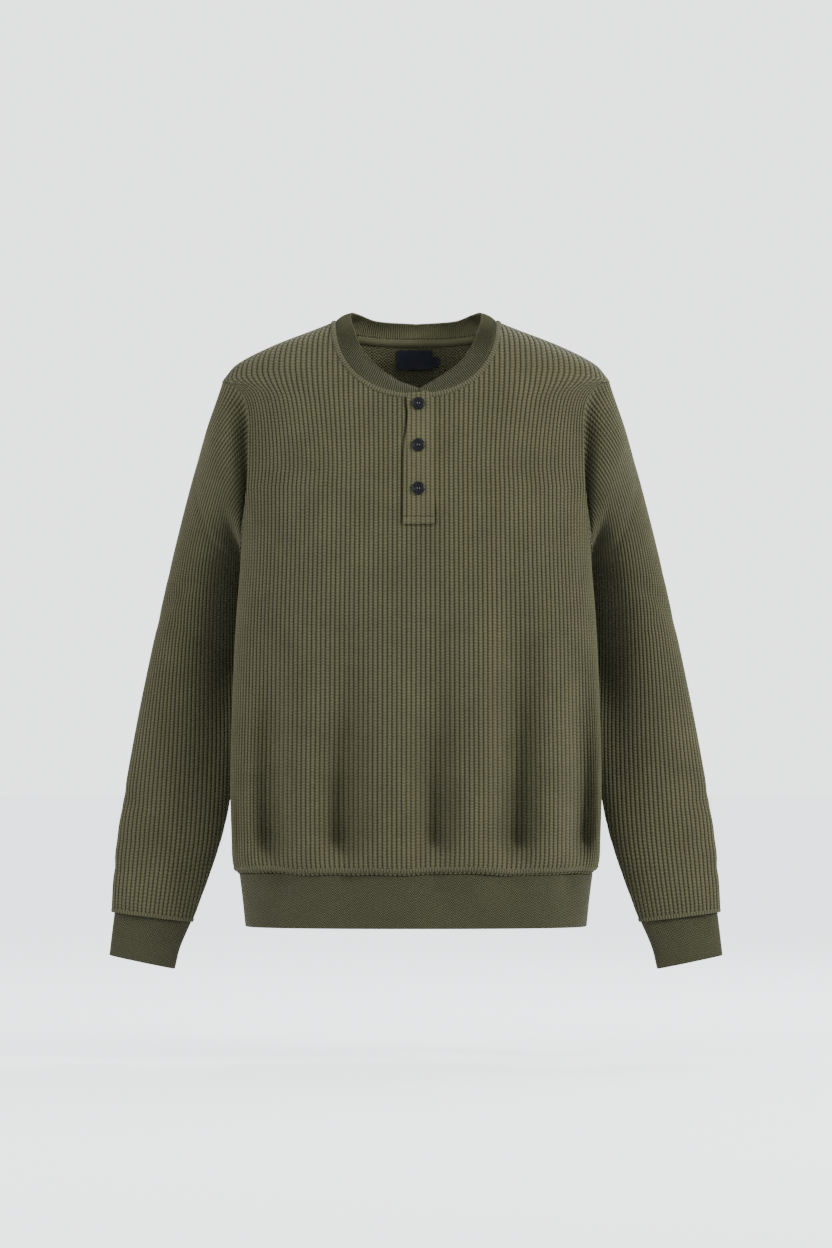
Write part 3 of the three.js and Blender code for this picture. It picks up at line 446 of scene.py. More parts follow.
        shoulder_z = bisect(past_shoulder, np.full_like(size, TIP_Z), np.zeros_like(size))
        neck_z = bisect(past_neck, np.full_like(size, -NECK_DROP[face]), np.zeros_like(size))
        middle = size < 1e-9
        neck_z = np.where(middle, -NECK_DROP[face], neck_z)
        result = np.where(self.on_shoulder(face, size), shoulder_z, neck_z)
        result = np.where(np.abs(size - ARM_SHARE) < 1e-6, TIP_Z, result)
        return np.where(foot, np.where(size > 1 - 1e-9, low, foot_z), result)

    @staticmethod
    def relief(face: Face, share: np.ndarray, z: np.ndarray) -> np.ndarray:
        """The depth of all the folds and creases.

        A fold is a narrow and a wide Gaussian trough about one line, and the hem seam gathers it in.
        A crease is one Gaussian trough that dies away at both ends.
        """
        trough = np.zeros_like(z)
        gather = FOLD_AT_SEAM + (1 - FOLD_AT_SEAM) * ease((z - HEM_SEAM_Z) / FOLD_GATHER)
        for fold in FOLDS[face]:
            risen = np.clip((fold.fades - z) / (fold.fades - LIP_Z), 0, 1)
            off = share - fold.across - fold.lean * (1 - risen)
            width = fold.width * (1 + 0.5 * (1 - risen))
            profile = 0.68 * bell(off, width) + 0.32 * bell(off, 2.3 * width)
            trough += fold.depth * ease(risen) * gather * profile
        for crease in CREASES[face]:
            a, b = np.array(crease.start), np.array(crease.end)
            run = (b - a) * np.array([CREASE_PANEL_HALF, 1.0])
            px, pz = (share - a[0]) * CREASE_PANEL_HALF, z - a[1]
            t = (px * run[0] + pz * run[1]) / (run @ run)
            off = np.hypot(px - t * run[0], pz - t * run[1])
            trough += crease.depth * ease(4 * t * (1 - t)) * bell(off, crease.width)
        return trough

    def point(self, face: Face, share: np.ndarray, z: np.ndarray) -> np.ndarray:
        """The outer cloth, on its ribs' crests, by share of the panel's half width and height."""
        x, y = self.section(face, z, self.reach(face, share, z))
        y = np.maximum(0, y - self.relief(face, share, z) * np.clip(y / FOLD_EDGE, 0, 1))
        return np.stack([x, face.value * (y - SIDE_LAP), z], axis=-1)

    def share_at_x(self, face: Face, x: np.ndarray, z: np.ndarray) -> np.ndarray:
        """The share of the panel that lies at an x near the middle, at a height."""
        low, high = np.full_like(z, -0.35), np.full_like(z, 0.35)
        return bisect(lambda s: self.section(face, z, self.reach(face, s, z))[0] - x, low, high)

    def normal(self, face: Face, share: np.ndarray, z: np.ndarray) -> np.ndarray:
        """The way the cloth faces, from points 0.8% of the panel's half width and 2 mm of height apart."""
        across = self.point(face, share + 0.004, z) - self.point(face, share - 0.004, z)
        up = self.point(face, share, z + 1) - self.point(face, share, z - 1)
        return unit(np.cross(across, up)) * -face.value


FORM = BodyForm()


def hem_wave(x: np.ndarray) -> np.ndarray:
    """The uneven line of the hem seam: three slow waves added together, in millimetres of height."""
    return 0.9 * np.sin(x / 31 + 0.6) + 0.7 * np.sin(x / 17 - 1.1) + 0.35 * np.sin(x / 8.5)


def rib_height(phase: np.ndarray, depth: float, power: float = 3.0) -> np.ndarray:
    """A rib's profile: 0 on its round crest and -depth in the sharp valley, -depth |2p - 1|^power."""
    return -depth * np.abs(2 * (phase % 1.0) - 1) ** power


def knit_map(across: np.ndarray, along: np.ndarray) -> np.ndarray:
    """The knit map of a grid, from its numbers across and along the ribs."""
    return np.stack(np.broadcast_arrays(across, along), axis=-1)


def ribbed_wall(points: np.ndarray, normals: np.ndarray, height: np.ndarray) -> tuple[np.ndarray, np.ndarray]:
    """The outer surface, at a height over the crest points, and the plain inner one, a wall behind them."""
    coarse = slice(None, None, RIB_POINTS)
    return points + normals * height[..., None], points[:, coarse] - normals[:, coarse] * WAFFLE_WALL


# Meshes.


@dataclass
class Cloth:
    """Points and faces that grow into one mesh, with a knit map in ribs and millimetres."""

    points: list[np.ndarray] = field(default_factory=list)
    maps: list[np.ndarray] = field(default_factory=list)
    quads: list[tuple[np.ndarray, np.ndarray]] = field(default_factory=list)
    triangles: list[tuple[np.ndarray, np.ndarray]] = field(default_factory=list)
    count: int = 0

    def add_points(self, points: np.ndarray, knit: np.ndarray) -> np.ndarray:
        """Add a grid of points with their knit map, and return their numbers on the same grid."""
        shape = points.shape[:-1]
        self.points.append(points.reshape(-1, 3))
        self.maps.append(knit.reshape(-1, 2))
        numbers = self.count + np.arange(int(np.prod(shape))).reshape(shape)
        self.count += numbers.size
        return numbers

    def add_faces(self, *corners: np.ndarray, slot: int | np.ndarray = 0) -> None:
        """Add faces with three or four sides, from arrays of corner numbers, in one slot or several."""
        faces = np.stack([np.ravel(v) for v in corners], axis=1)
        slots = np.broadcast_to(slot, np.shape(corners[0])).ravel()
        (self.quads if len(corners) == 4 else self.triangles).append((faces, slots))

    def make(self, name: str, materials: Sequence[bpy.types.Material], sharp: float = 75.0) -> bpy.types.Object:
        """Make the object, welding what coincides and turning its faces outwards.

        Args:
            name: the piece's name.
            materials: its materials, in the order of the faces' slots.
            sharp: the angle in degrees past which an edge is shaded sharp.

        Returns:
            The object, at the origin, linked to the scene.
        """
        points = np.concatenate(self.points) * MM
        knit = np.concatenate(self.maps)
        groups = [*self.quads, *self.triangles]
        mesh = bpy.data.meshes.new(name)
        mesh.from_pydata(points.tolist(), [], [face for faces, _ in groups for face in faces.tolist()])
        slots = np.concatenate([slots for _, slots in groups]).astype(np.int32)
        mesh.polygons.foreach_set("material_index", slots)
        corners = np.empty(len(mesh.loops), np.int32)
        mesh.loops.foreach_get("vertex_index", corners)
        layer = mesh.uv_layers.new(name="Knit")
        layer.data.foreach_set("uv", knit[corners].ravel().astype(np.float32))
        body = bmesh.new()
        body.from_mesh(mesh)
        bmesh.ops.remove_doubles(body, verts=body.verts, dist=2e-6)
        bmesh.ops.dissolve_degenerate(body, dist=1e-6, edges=body.edges)
        bmesh.ops.recalc_face_normals(body, faces=body.faces)
        body.to_mesh(mesh)
        body.free()
        mesh.shade_smooth()
        mesh.set_sharp_from_angle(angle=np.radians(sharp))
        for material in materials:
            mesh.materials.append(material)
        piece = bpy.data.objects.new(name, mesh)
        bpy.context.scene.collection.objects.link(piece)
        return piece


def sew_shell(
    cloth: Cloth,
    outer: np.ndarray,
    inner: np.ndarray,
    knit: np.ndarray,
    stretch: float = 1.0,
    sub: int = 1,
    has: np.ndarray | None = None,
    closed: bool = False,
) -> None:
    """Add a cloth wall between a fine outer grid and a plain inner one.

    The outer grid has sub columns to each of the inner grid's. An edge with no neighbour is closed by
    a rim: quads where both sides have the same rows, and a fan of sub triangles and one more along a
    row.

    Args:
        cloth: what the wall is added to.
        outer: the outer points, rows by fine columns.
        inner: the inner points, rows by groups of columns.
        knit: the outer knit map.
        stretch: how many times its first number the inner one's is.
        sub: fine columns in a group.
        has: which patches are cloth, rows by groups, or None for all.
        closed: whether the last group meets the first, so that they need no rim.
    """
    if has is None:
        has = np.ones((inner.shape[0] - 1, inner.shape[1] - 1), bool)
    out, inn = cloth.add_points(outer, knit), cloth.add_points(inner, knit[:, ::sub] * (stretch, 1.0))
    r, c = np.nonzero(np.repeat(has, sub, axis=1))
    cloth.add_faces(out[r, c], out[r, c + 1], out[r + 1, c + 1], out[r + 1, c])
    r, g = np.nonzero(has)
    cloth.add_faces(inn[r, g], inn[r + 1, g], inn[r + 1, g + 1], inn[r, g + 1], slot=1)
    edge = np.zeros((has.shape[0], 1), bool)
    left_of, right_of = np.hstack([edge, has[:, :-1]]), np.hstack([has[:, 1:], edge])
    if closed:
        left_of[:, 0], right_of[:, -1] = has[:, -1], has[:, 0]
    for missing, shift in ((has & ~left_of, 0), (has & ~right_of, 1)):
        r, g = np.nonzero(missing)
        end = (g + shift) * sub
        cloth.add_faces(out[r, end], out[r + 1, end], inn[r + 1, g + shift], inn[r, g + shift], slot=1)
    row = np.zeros((1, has.shape[1]), bool)
    below, above = np.vstack([row, has[:-1]]), np.vstack([has[1:], row])
    middle = (sub + 1) // 2
    for missing, shift in ((has & ~below, 0), (has & ~above, 1)):
        r, g = np.nonzero(missing)
        e = r + shift
        for k in range(sub):
            near = inn[e, g] if k < middle else inn[e, g + 1]
            cloth.add_faces(out[e, g * sub + k], out[e, g * sub + k + 1], near, slot=1)
        cloth.add_faces(out[e, g * sub + middle], inn[e, g + 1], inn[e, g], slot=1)


def sweep(
    cloth: Cloth, profile: np.ndarray, along: np.ndarray, over: np.ndarray, looped: bool, slots: object = 0
) -> None:
    """Add a solid strip: a closed profile carried along a path, its ends capped unless it is looped.

    Args:
        cloth: what the strip is added to.
        profile: the profile's points at each place of the path, places by points.
        along: the knit map's first number at each place.
        over: the knit map's second number at each point of the profile.
        looped: whether the path ends where it starts.
        slots: the slot of the faces, or one for each point of the profile.
    """
    numbers = cloth.add_points(profile, knit_map(along[:, None], over[None, :]))
    ahead = np.roll(numbers, -1, axis=1)
    if looped:
        cloth.add_faces(numbers, np.roll(numbers, -1, axis=0), np.roll(ahead, -1, axis=0), ahead)
        return
    cloth.add_faces(numbers[:-1], numbers[1:], ahead[1:], ahead[:-1], slot=slots)
    half, count = profile.shape[1] // 2, profile.shape[1]
    low, high = np.arange(half), np.arange(count - 1, count - 1 - half, -1)
    for rows in numbers[[0, -1]]:
        cloth.add_faces(rows[low[:-1]], rows[low[1:]], rows[high[1:]], rows[high[:-1]])


# Finishes.

Colour = tuple[float, float, float]
SHEEN = (0.5, 0.48, 0.34, 1.0)


@dataclass(frozen=True)
class Signal:
    """A number or colour that runs through a material's nodes, for use in sums like any other number."""

    nodes: "Nodes"
    socket: bpy.types.NodeSocket

    def __add__(self, other: object) -> "Signal":
        """Add."""
        return self.nodes.math("ADD", self, other)

    def __sub__(self, other: object) -> "Signal":
        """Subtract."""
        return self.nodes.math("SUBTRACT", self, other)

    def __rsub__(self, other: object) -> "Signal":
        """Subtract it from a number."""
        return self.nodes.math("SUBTRACT", other, self)

    def __mul__(self, other: object) -> "Signal":
        """Multiply."""
        return self.nodes.math("MULTIPLY", self, other)

    def __truediv__(self, other: object) -> "Signal":
        """Divide."""
        return self.nodes.math("DIVIDE", self, other)


class Nodes:
    """A short way to build a material's node tree."""

    def __init__(self, name: str) -> None:
        """Start a material with a principled shader, its output and the object's own coordinates."""
        self.material = bpy.data.materials.new(name)
        self.material.use_nodes = True
        self.tree = self.material.node_tree
        self.tree.nodes.clear()
        output = self.tree.nodes.new("ShaderNodeOutputMaterial")
        self.shader = self.tree.nodes.new("ShaderNodeBsdfPrincipled")
        self.tree.links.new(self.shader.outputs[0], output.inputs[0])
        self.place = Signal(self, self.node("ShaderNodeTexCoord").outputs["Object"])

    def node(self, kind: str, **settings: object) -> bpy.types.Node:
        """A new node with its settings."""
        made = self.tree.nodes.new(kind)
        for key, value in settings.items():
            setattr(made, key, value)
        return made

    def put(self, socket: bpy.types.NodeSocket, value: object) -> None:
        """Link a signal to a socket, or set the socket's own value."""
        if isinstance(value, Signal):
            self.tree.links.new(value.socket, socket)
        else:
            socket.default_value = value

    def math(self, operation: str, *values: object) -> Signal:
        """One operation on one to three numbers."""
        made = self.node("ShaderNodeMath", operation=operation)
        for socket, value in zip(made.inputs, values):
            self.put(socket, value)
        return Signal(self, made.outputs[0])

    def knit(self) -> tuple[Signal, Signal]:
        """The two numbers of the knit map."""
        parts = self.node("ShaderNodeSeparateXYZ")
        self.put(parts.inputs[0], Signal(self, self.node("ShaderNodeUVMap", uv_map="Knit").outputs[0]))
        return Signal(self, parts.outputs[0]), Signal(self, parts.outputs[1])

    def noise(self, scale: float, detail: float) -> Signal:
        """Noise from 0 to 1 over the object's coordinates."""
        made = self.node("ShaderNodeTexNoise")
        for key, value in (("Vector", self.place), ("Scale", scale), ("Detail", detail)):
            self.put(made.inputs[key], value)
        return Signal(self, made.outputs[0])

    def mix(self, share: object, first: object, second: object, blend: str = "MIX") -> Signal:
        """A mix of two colours."""
        made = self.node("ShaderNodeMix", data_type="RGBA", blend_type=blend)
        self.put(made.inputs[0], share)
        for socket, value in ((made.inputs[6], first), (made.inputs[7], second)):
            self.put(socket, value if isinstance(value, Signal) else (*value, 1.0))
        return Signal(self, made.outputs[2])

    def ramp(self, value: object, low: float, high: float) -> Signal:
        """A number stretched so that low becomes 0 and high becomes 1, kept between them."""
        made = self.node("ShaderNodeMapRange", clamp=True)
        for key, number in (("Value", value), ("From Min", low), ("From Max", high)):
            self.put(made.inputs[key], number)
        return Signal(self, made.outputs[0])

    def faded(self, tone: Signal, scale: float, worn: Colour, fresh: Colour) -> Signal:
        """A colour made darker and lighter in soft patches."""
        lift = self.mix(self.ramp(self.noise(scale, 3.0), 0.3, 0.72), worn, fresh)
        return self.mix(1.0, tone, lift, "MULTIPLY")

    def bump(self, height: object, strength: float, distance: float) -> None:
        """Raise the surface's shading by a height, whose whole step is distance metres."""
        made = self.node("ShaderNodeBump")
        for key, value in (("Strength", strength), ("Distance", distance), ("Height", height)):
            self.put(made.inputs[key], value)
        self.put(self.shader.inputs["Normal"], Signal(self, made.outputs[0]))

    def set(self, **values: object) -> None:
        """Set the shader's own sockets, with underscores for spaces."""
        for key, value in values.items():
            self.put(self.shader.inputs[key.replace("_", " ")], value)


@dataclass(frozen=True)
class KnitFinish:
    """Chunky waffle knit: round cords of stacked loops, with shade painted in their valleys and small pockets.

    The knit map gives the rib's number across and millimetres along. A loop's height is a raised
    cosine along each rib, a quarter of a loop out of step with its neighbours.
    """

    name: str
    # crest is the knit's own colour; the valley and pocket colours are painted shade, darker tones for the rib
    # valleys and the pockets between loops.
    crest: Colour
    valley: Colour
    pocket_shade: Colour
    relief: float = 0.00055

    def material(self) -> bpy.types.Material:
        """Build the material."""
        n = Nodes(self.name)
        rib, along = n.knit()
        off = n.math("ABSOLUTE", n.math("FRACT", rib) * 2.0 - 1.0)
        body = 1.0 - n.math("POWER", off, 2.2)
        stagger = n.math("FRACT", n.math("FLOOR", rib) * 0.5) * 0.5
        course = along / COURSE + (stagger + n.noise(34.0, 1.0) * 1.3)
        loop = n.math("COSINE", course * TAU) * 0.5 + 0.5
        slub, fleck = n.noise(420.0, 3.0), n.noise(1500.0, 2.0)
        hollow = (1.0 - body) * (1.0 - loop)
        # Painted light and shade: lighter on the rib crests and loop tops, darker painted shade in the valleys and
        # the pockets between loops; the slub noise is the yarn's own random tone.
        light = body * (loop * 0.42 + 0.58) + (slub - 0.5) * 0.75
        tone = n.mix(n.ramp(light, 0.12, 0.95), self.valley, self.crest)
        tone = n.mix(n.ramp(hollow, 0.3, 0.85), tone, self.pocket_shade)
        n.set(Base_Color=n.faded(tone, 26.0, (0.9, 0.89, 0.88), (1.08, 1.08, 1.06)), Roughness=0.93)
        n.set(Sheen_Weight=0.08, Sheen_Roughness=0.55, Sheen_Tint=SHEEN, Specular_IOR_Level=0.08)
        n.bump(loop * body * 0.75 - hollow * 0.55 + slub * 0.55 + fleck * 0.22, 0.9, self.relief)
        return n.material


@dataclass(frozen=True)
class BandFinish:
    """Fine one-by-one rib: narrow wales of small stitches, nearly smooth from a step away.

    The knit map gives millimetres round the band and across it. wale and stitch are the sizes of one
    wale and one stitch, depth how far the wales stand out, and moss how far single stitches do, in the
    bump and in the colour: light is painted on their raised tops and dark is painted shade between them.
    """

    name: str
    light: Colour
    dark: Colour
    wale: float
    stitch: float
    depth: float = 0.6
    relief: float = 0.00028
    moss: float = 0.0

    def material(self) -> bpy.types.Material:
        """Build the material."""
        n = Nodes(self.name)
        around, over = n.knit()
        column = around / self.wale
        wave = n.math("COSINE", column * TAU)
        stagger = n.math("FRACT", n.math("FLOOR", column) * 0.5)
        row = over / self.stitch + stagger + n.noise(60.0, 1.0) * 0.8
        knot = n.math("COSINE", row * TAU)
        slub = n.noise(700.0, 3.0)
        seed = wave * knot * self.moss
        # Painted light and shade: lighter on the wales and stitch tops, darker between them; the slub noise is the
        # yarn's own random tone.
        grain = wave * (0.24 * self.depth) + knot * 0.14 + seed + 0.5 + (slub - 0.5) * 0.8
        tone = n.mix(n.ramp(grain, 0.1, 0.9), self.dark, self.light)
        n.set(Base_Color=n.faded(tone, 22.0, (0.93, 0.92, 0.91), (1.06, 1.06, 1.05)), Roughness=0.92)
        n.set(Sheen_Weight=0.08, Sheen_Roughness=0.5, Sheen_Tint=SHEEN, Specular_IOR_Level=0.08)
        n.bump(wave * (0.35 * self.depth) + knot * 0.25 + seed + slub * 0.9, 0.85, self.relief)
        return n.material


@dataclass(frozen=True)
class LabelFinish:
    """Tight satin: threads 0.35 mm apart both ways, from the knit map in millimetres."""

    name: str
    colour: Colour
    spacing: float = 0.35

    def material(self) -> bpy.types.Material:
        """Build the material."""
        n = Nodes(self.name)
        warp, weft = (n.math("SINE", place * (TAU / (2 * self.spacing))) for place in n.knit())
        lighter = tuple(2.1 * v for v in self.colour)
        weave = warp * weft * 0.35 + n.noise(300.0, 3.0)
        n.set(Base_Color=n.mix(n.ramp(weave, 0.2, 1.0), self.colour, lighter), Roughness=0.62)
        n.set(Sheen_Weight=0.04, Sheen_Roughness=0.4, Specular_IOR_Level=0.2)
        n.bump(warp * 0.5 + weft * 0.5, 0.5, 0.00006)
        return n.material


@dataclass(frozen=True)
class ButtonFinish:
    """Polished dark resin, faintly marbled, a little duller where it is handled."""

    name: str
    dark: Colour
    vein: Colour

    def material(self) -> bpy.types.Material:
        """Build the material."""
        n = Nodes(self.name)
        wave = n.node("ShaderNodeTexWave", wave_type="BANDS", bands_direction="DIAGONAL")
        for key, value in (("Vector", n.place), ("Scale", 110.0), ("Distortion", 9.0), ("Detail", 3.0)):
            n.put(wave.inputs[key], value)
        vein = n.ramp(Signal(n, wave.outputs["Fac"]), 0.55, 1.0)
        n.set(Base_Color=n.mix(vein, self.dark, self.vein), Roughness=n.ramp(n.noise(500.0, 3.0), -1.0, 3.0))
        n.set(Specular_IOR_Level=0.07, Coat_Weight=0.025, Coat_Roughness=0.1)
        return n.material


@dataclass(frozen=True)
class ThreadFinish:
    """Sewing thread, lighter and darker in fine flecks."""

    name: str
    colour: Colour

    def material(self) -> bpy.types.Material:
        """Build the material."""
        n = Nodes(self.name)
        twist = n.noise(2600.0, 2.0)
        darker = tuple(0.5 * v for v in self.colour)
        n.set(Base_Color=n.mix(twist, darker, self.colour), Roughness=0.8, Sheen_Weight=0.2)
        n.bump(twist, 0.6, 0.00008)
        return n.material


class Wardrobe:
    """All the finishes, made once."""

    def __init__(self) -> None:
        """Build every material."""
        # Each knit's second and third colours are painted shade for its rib valleys and the pockets between loops.
        self.waffle = KnitFinish(
            "olive_waffle_knit", (0.0352, 0.0353, 0.0186), (0.014, 0.0134, 0.00629), (0.0031, 0.00272, 0.00111)
        ).material()
        self.facing = KnitFinish(
            "olive_facing_knit", (0.0372, 0.0374, 0.0198), (0.0205, 0.0198, 0.0098), (0.0062, 0.0056, 0.0025)
        ).material()
        # In these rows light and dark are painted light and shade of the wales and stitches.
        rows = {  # name, light, dark, wale, stitch and, where they matter, depth, relief and moss
            # The wrong side's colours are painted light: much lighter than the outside knit, so the shaded inside of
            # the shirt looks lit.
            "inside": ("knit_wrong_side_painted_light", (0.082, 0.083, 0.0465), (0.0125, 0.0122, 0.006), 5, 3.5, 0.25, 0.001, 0.55),
            "band": ("olive_fine_rib", (0.0325, 0.033, 0.0178), (0.0062, 0.006, 0.0029), 3.7, 3.1, 0.35, 0.0009, 0.8),
            "collar": ("olive_collar_rib", (0.0315, 0.032, 0.0172), (0.0052, 0.005, 0.0024), 2.5, 2.2, 1.9, 0.0006),
            # The lining's colours are painted light: lighter than the collar's, so the shaded inner face of the band
            # looks lit.
            "lining": ("olive_collar_lining", (0.072, 0.073, 0.0405), (0.034, 0.0336, 0.0172), 2.5, 2.2, 1.0, 0.0003),
            "welt": ("olive_cover_stitch", (0.041, 0.0415, 0.0226), (0.0145, 0.0143, 0.0071), 3.3, 2.0, 1.5, 0.0006),
            "tape": ("olive_tape", (0.062, 0.063, 0.035), (0.042, 0.042, 0.0225), 1.2, 1.2, 0.2),
        }
        made = {key: BandFinish(*row).material() for key, row in rows.items()}
        self.inside, self.band, self.collar = made["inside"], made["band"], made["collar"]
        self.lining, self.welt, self.tape = made["lining"], made["welt"], made["tape"]
        self.label = LabelFinish("navy_satin", (0.0042, 0.0051, 0.0086)).material()
        self.button = ButtonFinish("dark_resin", (0.0009, 0.001, 0.0018), (0.003, 0.0032, 0.0045)).material()
        self.thread = ThreadFinish("navy_thread", (0.02, 0.022, 0.034)).material()


def dress(piece: bpy.types.Object, nodes: Sequence[str] = ()) -> bpy.types.Object:
    """Ride a piece on the shirt and let it stand for the nodes it replaces."""
    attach(piece, "root")
    if nodes:
        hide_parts(*nodes)
    log.info("%s: %d faces", piece.name, len(piece.data.polygons))
    return piece


def sew_patch(
    name: str,
    node: str,
    materials: Sequence[bpy.types.Material],
    outer: np.ndarray,
    inner: np.ndarray,
    knit: np.ndarray,
    stretch: float = 1.0,
    sharp: float = 75.0,
) -> bpy.types.Object:
    """Make a piece that is one whole wall, stands for one node and has a material for each side."""
    cloth = Cloth()
    sew_shell(cloth, outer, inner, knit, stretch)
    return dress(cloth.make(name, materials, sharp), [node])


# The pieces.


@dataclass
class Panel:
    """The front or the back, its ribs raised in the outer surface."""

    face: Face
    wardrobe: Wardrobe
    low_rows: int = 76
    high_rows: int = 46
    slit: tuple[float, float, float] = (-4 / PANEL_RIBS, 8 / PANEL_RIBS, -226.0)  # shares and lowest z
    neck_share: float = 0.55  # no column past this share of the half width ends on the neckline
    neck_calm: float = 6.5  # the height below the neckline over which the ribs rise
    neck_sink: float = 1.1  # how far the cloth sinks under the neck welt
    seam_dip: float = 0.7  # how far it sinks at the side seam
    groove: float = 2.2  # how far it sinks beside the placket's free edge

    def grids(self) -> tuple[np.ndarray, np.ndarray, np.ndarray, np.ndarray]:
        """Lay out the panel.

        Returns:
            The outer crest points, their normals, the shares of the columns and the rows' heights.
        """
        share = np.linspace(-1, 1, PANEL_RIBS * RIB_POINTS + 1)
        size = np.abs(share)
        top = FORM.top(self.face, share) + ARMHOLE_FOOT_RISE * ease((size - ARM_SHARE) / 0.04)
        split = np.minimum(FORM.split[self.face], top)
        up = np.concatenate([np.linspace(0, 0.02, 5)[:-1], np.linspace(0.02, 1, self.low_rows - 4)])[:, None]
        rise = 1 - (1 - np.linspace(0, 1, self.high_rows + 1)[1:, None]) ** 2.1
        z = np.vstack([HEM_SEAM_Z + (split - HEM_SEAM_Z) * up, split + (top - split) * rise])
        points = FORM.point(self.face, np.broadcast_to(share, z.shape), z)
        points[: self.low_rows, :, 2] += hem_wave(share * HEM_PANEL_HALF) * np.clip(1 - up * 6, 0, 1)
        normals = grid_normals(points)
        turned = np.sign((normals[..., 1] * self.face.value).mean())
        normals *= turned
        foot = size > ARM_SHARE + 1e-6
        normals[: self.low_rows, foot] = turned * grid_normals(points[: self.low_rows])[:, foot]
        seam = np.zeros(z.shape, bool)
        seam[:, [0, -1]] = True
        seam[-1] = FORM.on_shoulder(self.face, share)
        normals[seam, 1] = 0
        return points, unit(normals), share, z

    def build(self) -> bpy.types.Object:
        """Make the panel: ribs over the whole of it, lower at the neck, the side seams and the placket."""
        points, normals, share, z = self.grids()
        rib = (share + 1) * PANEL_RIBS / 2
        no_neck = FORM.on_shoulder(self.face, share) | (np.abs(share) > self.neck_share)
        calm = ease(np.where(no_neck, 1.0, (z[-1] - z) / self.neck_calm - 0.3))
        height = rib_height(rib, RIB_DEPTH) * calm - self.neck_sink * (1 - calm)
        height = height - self.seam_dip * bell(1 - np.abs(share), 0.01)
        has = np.ones((z.shape[0] - 1, PANEL_RIBS), bool)
        middle = (np.arange(PANEL_RIBS) + 0.5) / PANEL_RIBS * 2 - 1
        has[self.low_rows - 1 :, np.abs(middle) > ARM_SHARE] = False
        if self.face is Face.FRONT:
            beside = bell(points[..., 0] - placket_edge(z) + 1.1, 1.5) * (z > PLACKET_EDGE[0, 0] + 3)
            height = np.maximum(height - self.groove * beside, -0.92 * WAFFLE_WALL)
            left, right, bottom = self.slit
            row_z = z[:-1, PANEL_RIBS * RIB_POINTS // 2]
            has[np.ix_(row_z > bottom, (middle > left) & (middle < right))] = False
        cloth = Cloth()
        outer, inner = ribbed_wall(points, normals, height)
        sew_shell(cloth, outer, inner, knit_map(rib, z), WRONG_SIDE_RIB, RIB_POINTS, has)
        word = self.face.name.lower()
        piece = cloth.make(f"{word}_knit", [self.wardrobe.waffle, self.wardrobe.inside])
        dress(piece, [f"{word}_panel"])
        return piece


SLEEVE_RINGS = np.array(
    [  # outer x, outer z, inner x, inner z, y of the middle, half depth, ribs on each side of the seam
        (246, -134, 201.5, -270.5, 18, 54, 40),
        (267, -207, 199.5, -277, 43, 56, 40),
        (290, -297, 198, -303, 70, 52, 39),
        (315, -408, 201, -396, 82, 44, 35),
        (333, -503, 207, -489, 64, 36, 31),
        (349, -602, 224, -592, 48, 27, 27),
        (354.5, -677, 256, -687, 36, 21, 23.5),
        (352, -686.5, 261, -697.5, 35, 16.5, 23),
    ]
)
SLEEVE_KEYS = np.arange(1, len(SLEEVE_RINGS) + 1)
SLEEVE_CREASES = (  # rib from the middle, place along, lean, depth, width
    (-14, -150, 1.4, 2.2, 9),
    (-10, -270, -1.1, 2.6, 11),
    (-16, -318, 1.2, 2.2, 9),
    (12, -200, 1.2, 2.4, 10),
    (15, -330, -1.3, 2.4, 10),
    (-6, -520, 0.9, 1.9, 10),
    (8, -545, -0.9, 1.8, 9),
    (-12, -575, 0.5, 2.0, 8),
    (3, -590, 0.4, 1.5, 8),
)
SLEEVE_SQUARE = 2.1
CUFF_RINGS = np.array(
    [
        (351.8, -687, 261.2, -698, 35, 16.2),
        (355, -716.5, 274, -727.5, 32, 14.5),
        (357, -737, 280.5, -753, 30, 14),
    ]
)


def ring_points(ring: np.ndarray, share: np.ndarray) -> tuple[np.ndarray, np.ndarray]:
    """Points of slanted superellipse rings, read by share of their half length.

    A ring is middle + arm a + y b with |a|^n + |b|^n = 1. Its length is tabulated at 97 angles.

    Args:
        ring: rows of outer x, outer z, inner x, inner z, y, half depth.
        share: for each row, shares from -1 (inner, by the front) over 0 (outer) to 1 (inner).

    Returns:
        The points and their outward normals, rows by shares.
    """
    angle = np.linspace(0, np.pi, 97)
    power = 2 / SLEEVE_SQUARE
    a = np.sign(np.cos(angle)) * np.abs(np.cos(angle)) ** power
    b = np.abs(np.sin(angle)) ** power
    arm = np.stack([(ring[:, 0] - ring[:, 2]) / 2, np.zeros(len(ring)), (ring[:, 1] - ring[:, 3]) / 2], axis=-1)
    middle = np.stack([(ring[:, 0] + ring[:, 2]) / 2, ring[:, 4], (ring[:, 1] + ring[:, 3]) / 2], axis=-1)
    size = np.linalg.norm(arm, axis=-1)
    steps = np.hypot(np.diff(a) * size[:, None], np.diff(b) * ring[:, 5, None])
    run = np.concatenate([np.zeros((len(ring), 1)), np.cumsum(steps, axis=1)], axis=1)
    along = np.abs(share) * run[:, -1:]
    aa = np.array([np.interp(along[i], run[i], a) for i in range(len(ring))])
    bb = np.array([np.interp(along[i], run[i], b) for i in range(len(ring))])
    side = np.where(share < 0, -1.0, 1.0)
    depth = bb * side * ring[:, 5, None]
    points = middle[:, None] + arm[:, None] * aa[..., None]
    points[..., 1] += depth
    k = SLEEVE_SQUARE - 1
    out_arm = (np.sign(aa) * np.abs(aa) ** k / size[:, None])[..., None] * (arm / size[:, None])[:, None]
    out_y = np.zeros_like(points)
    out_y[..., 1] = side * np.abs(bb) ** k / ring[:, 5, None]
    return points, unit(out_arm + out_y)


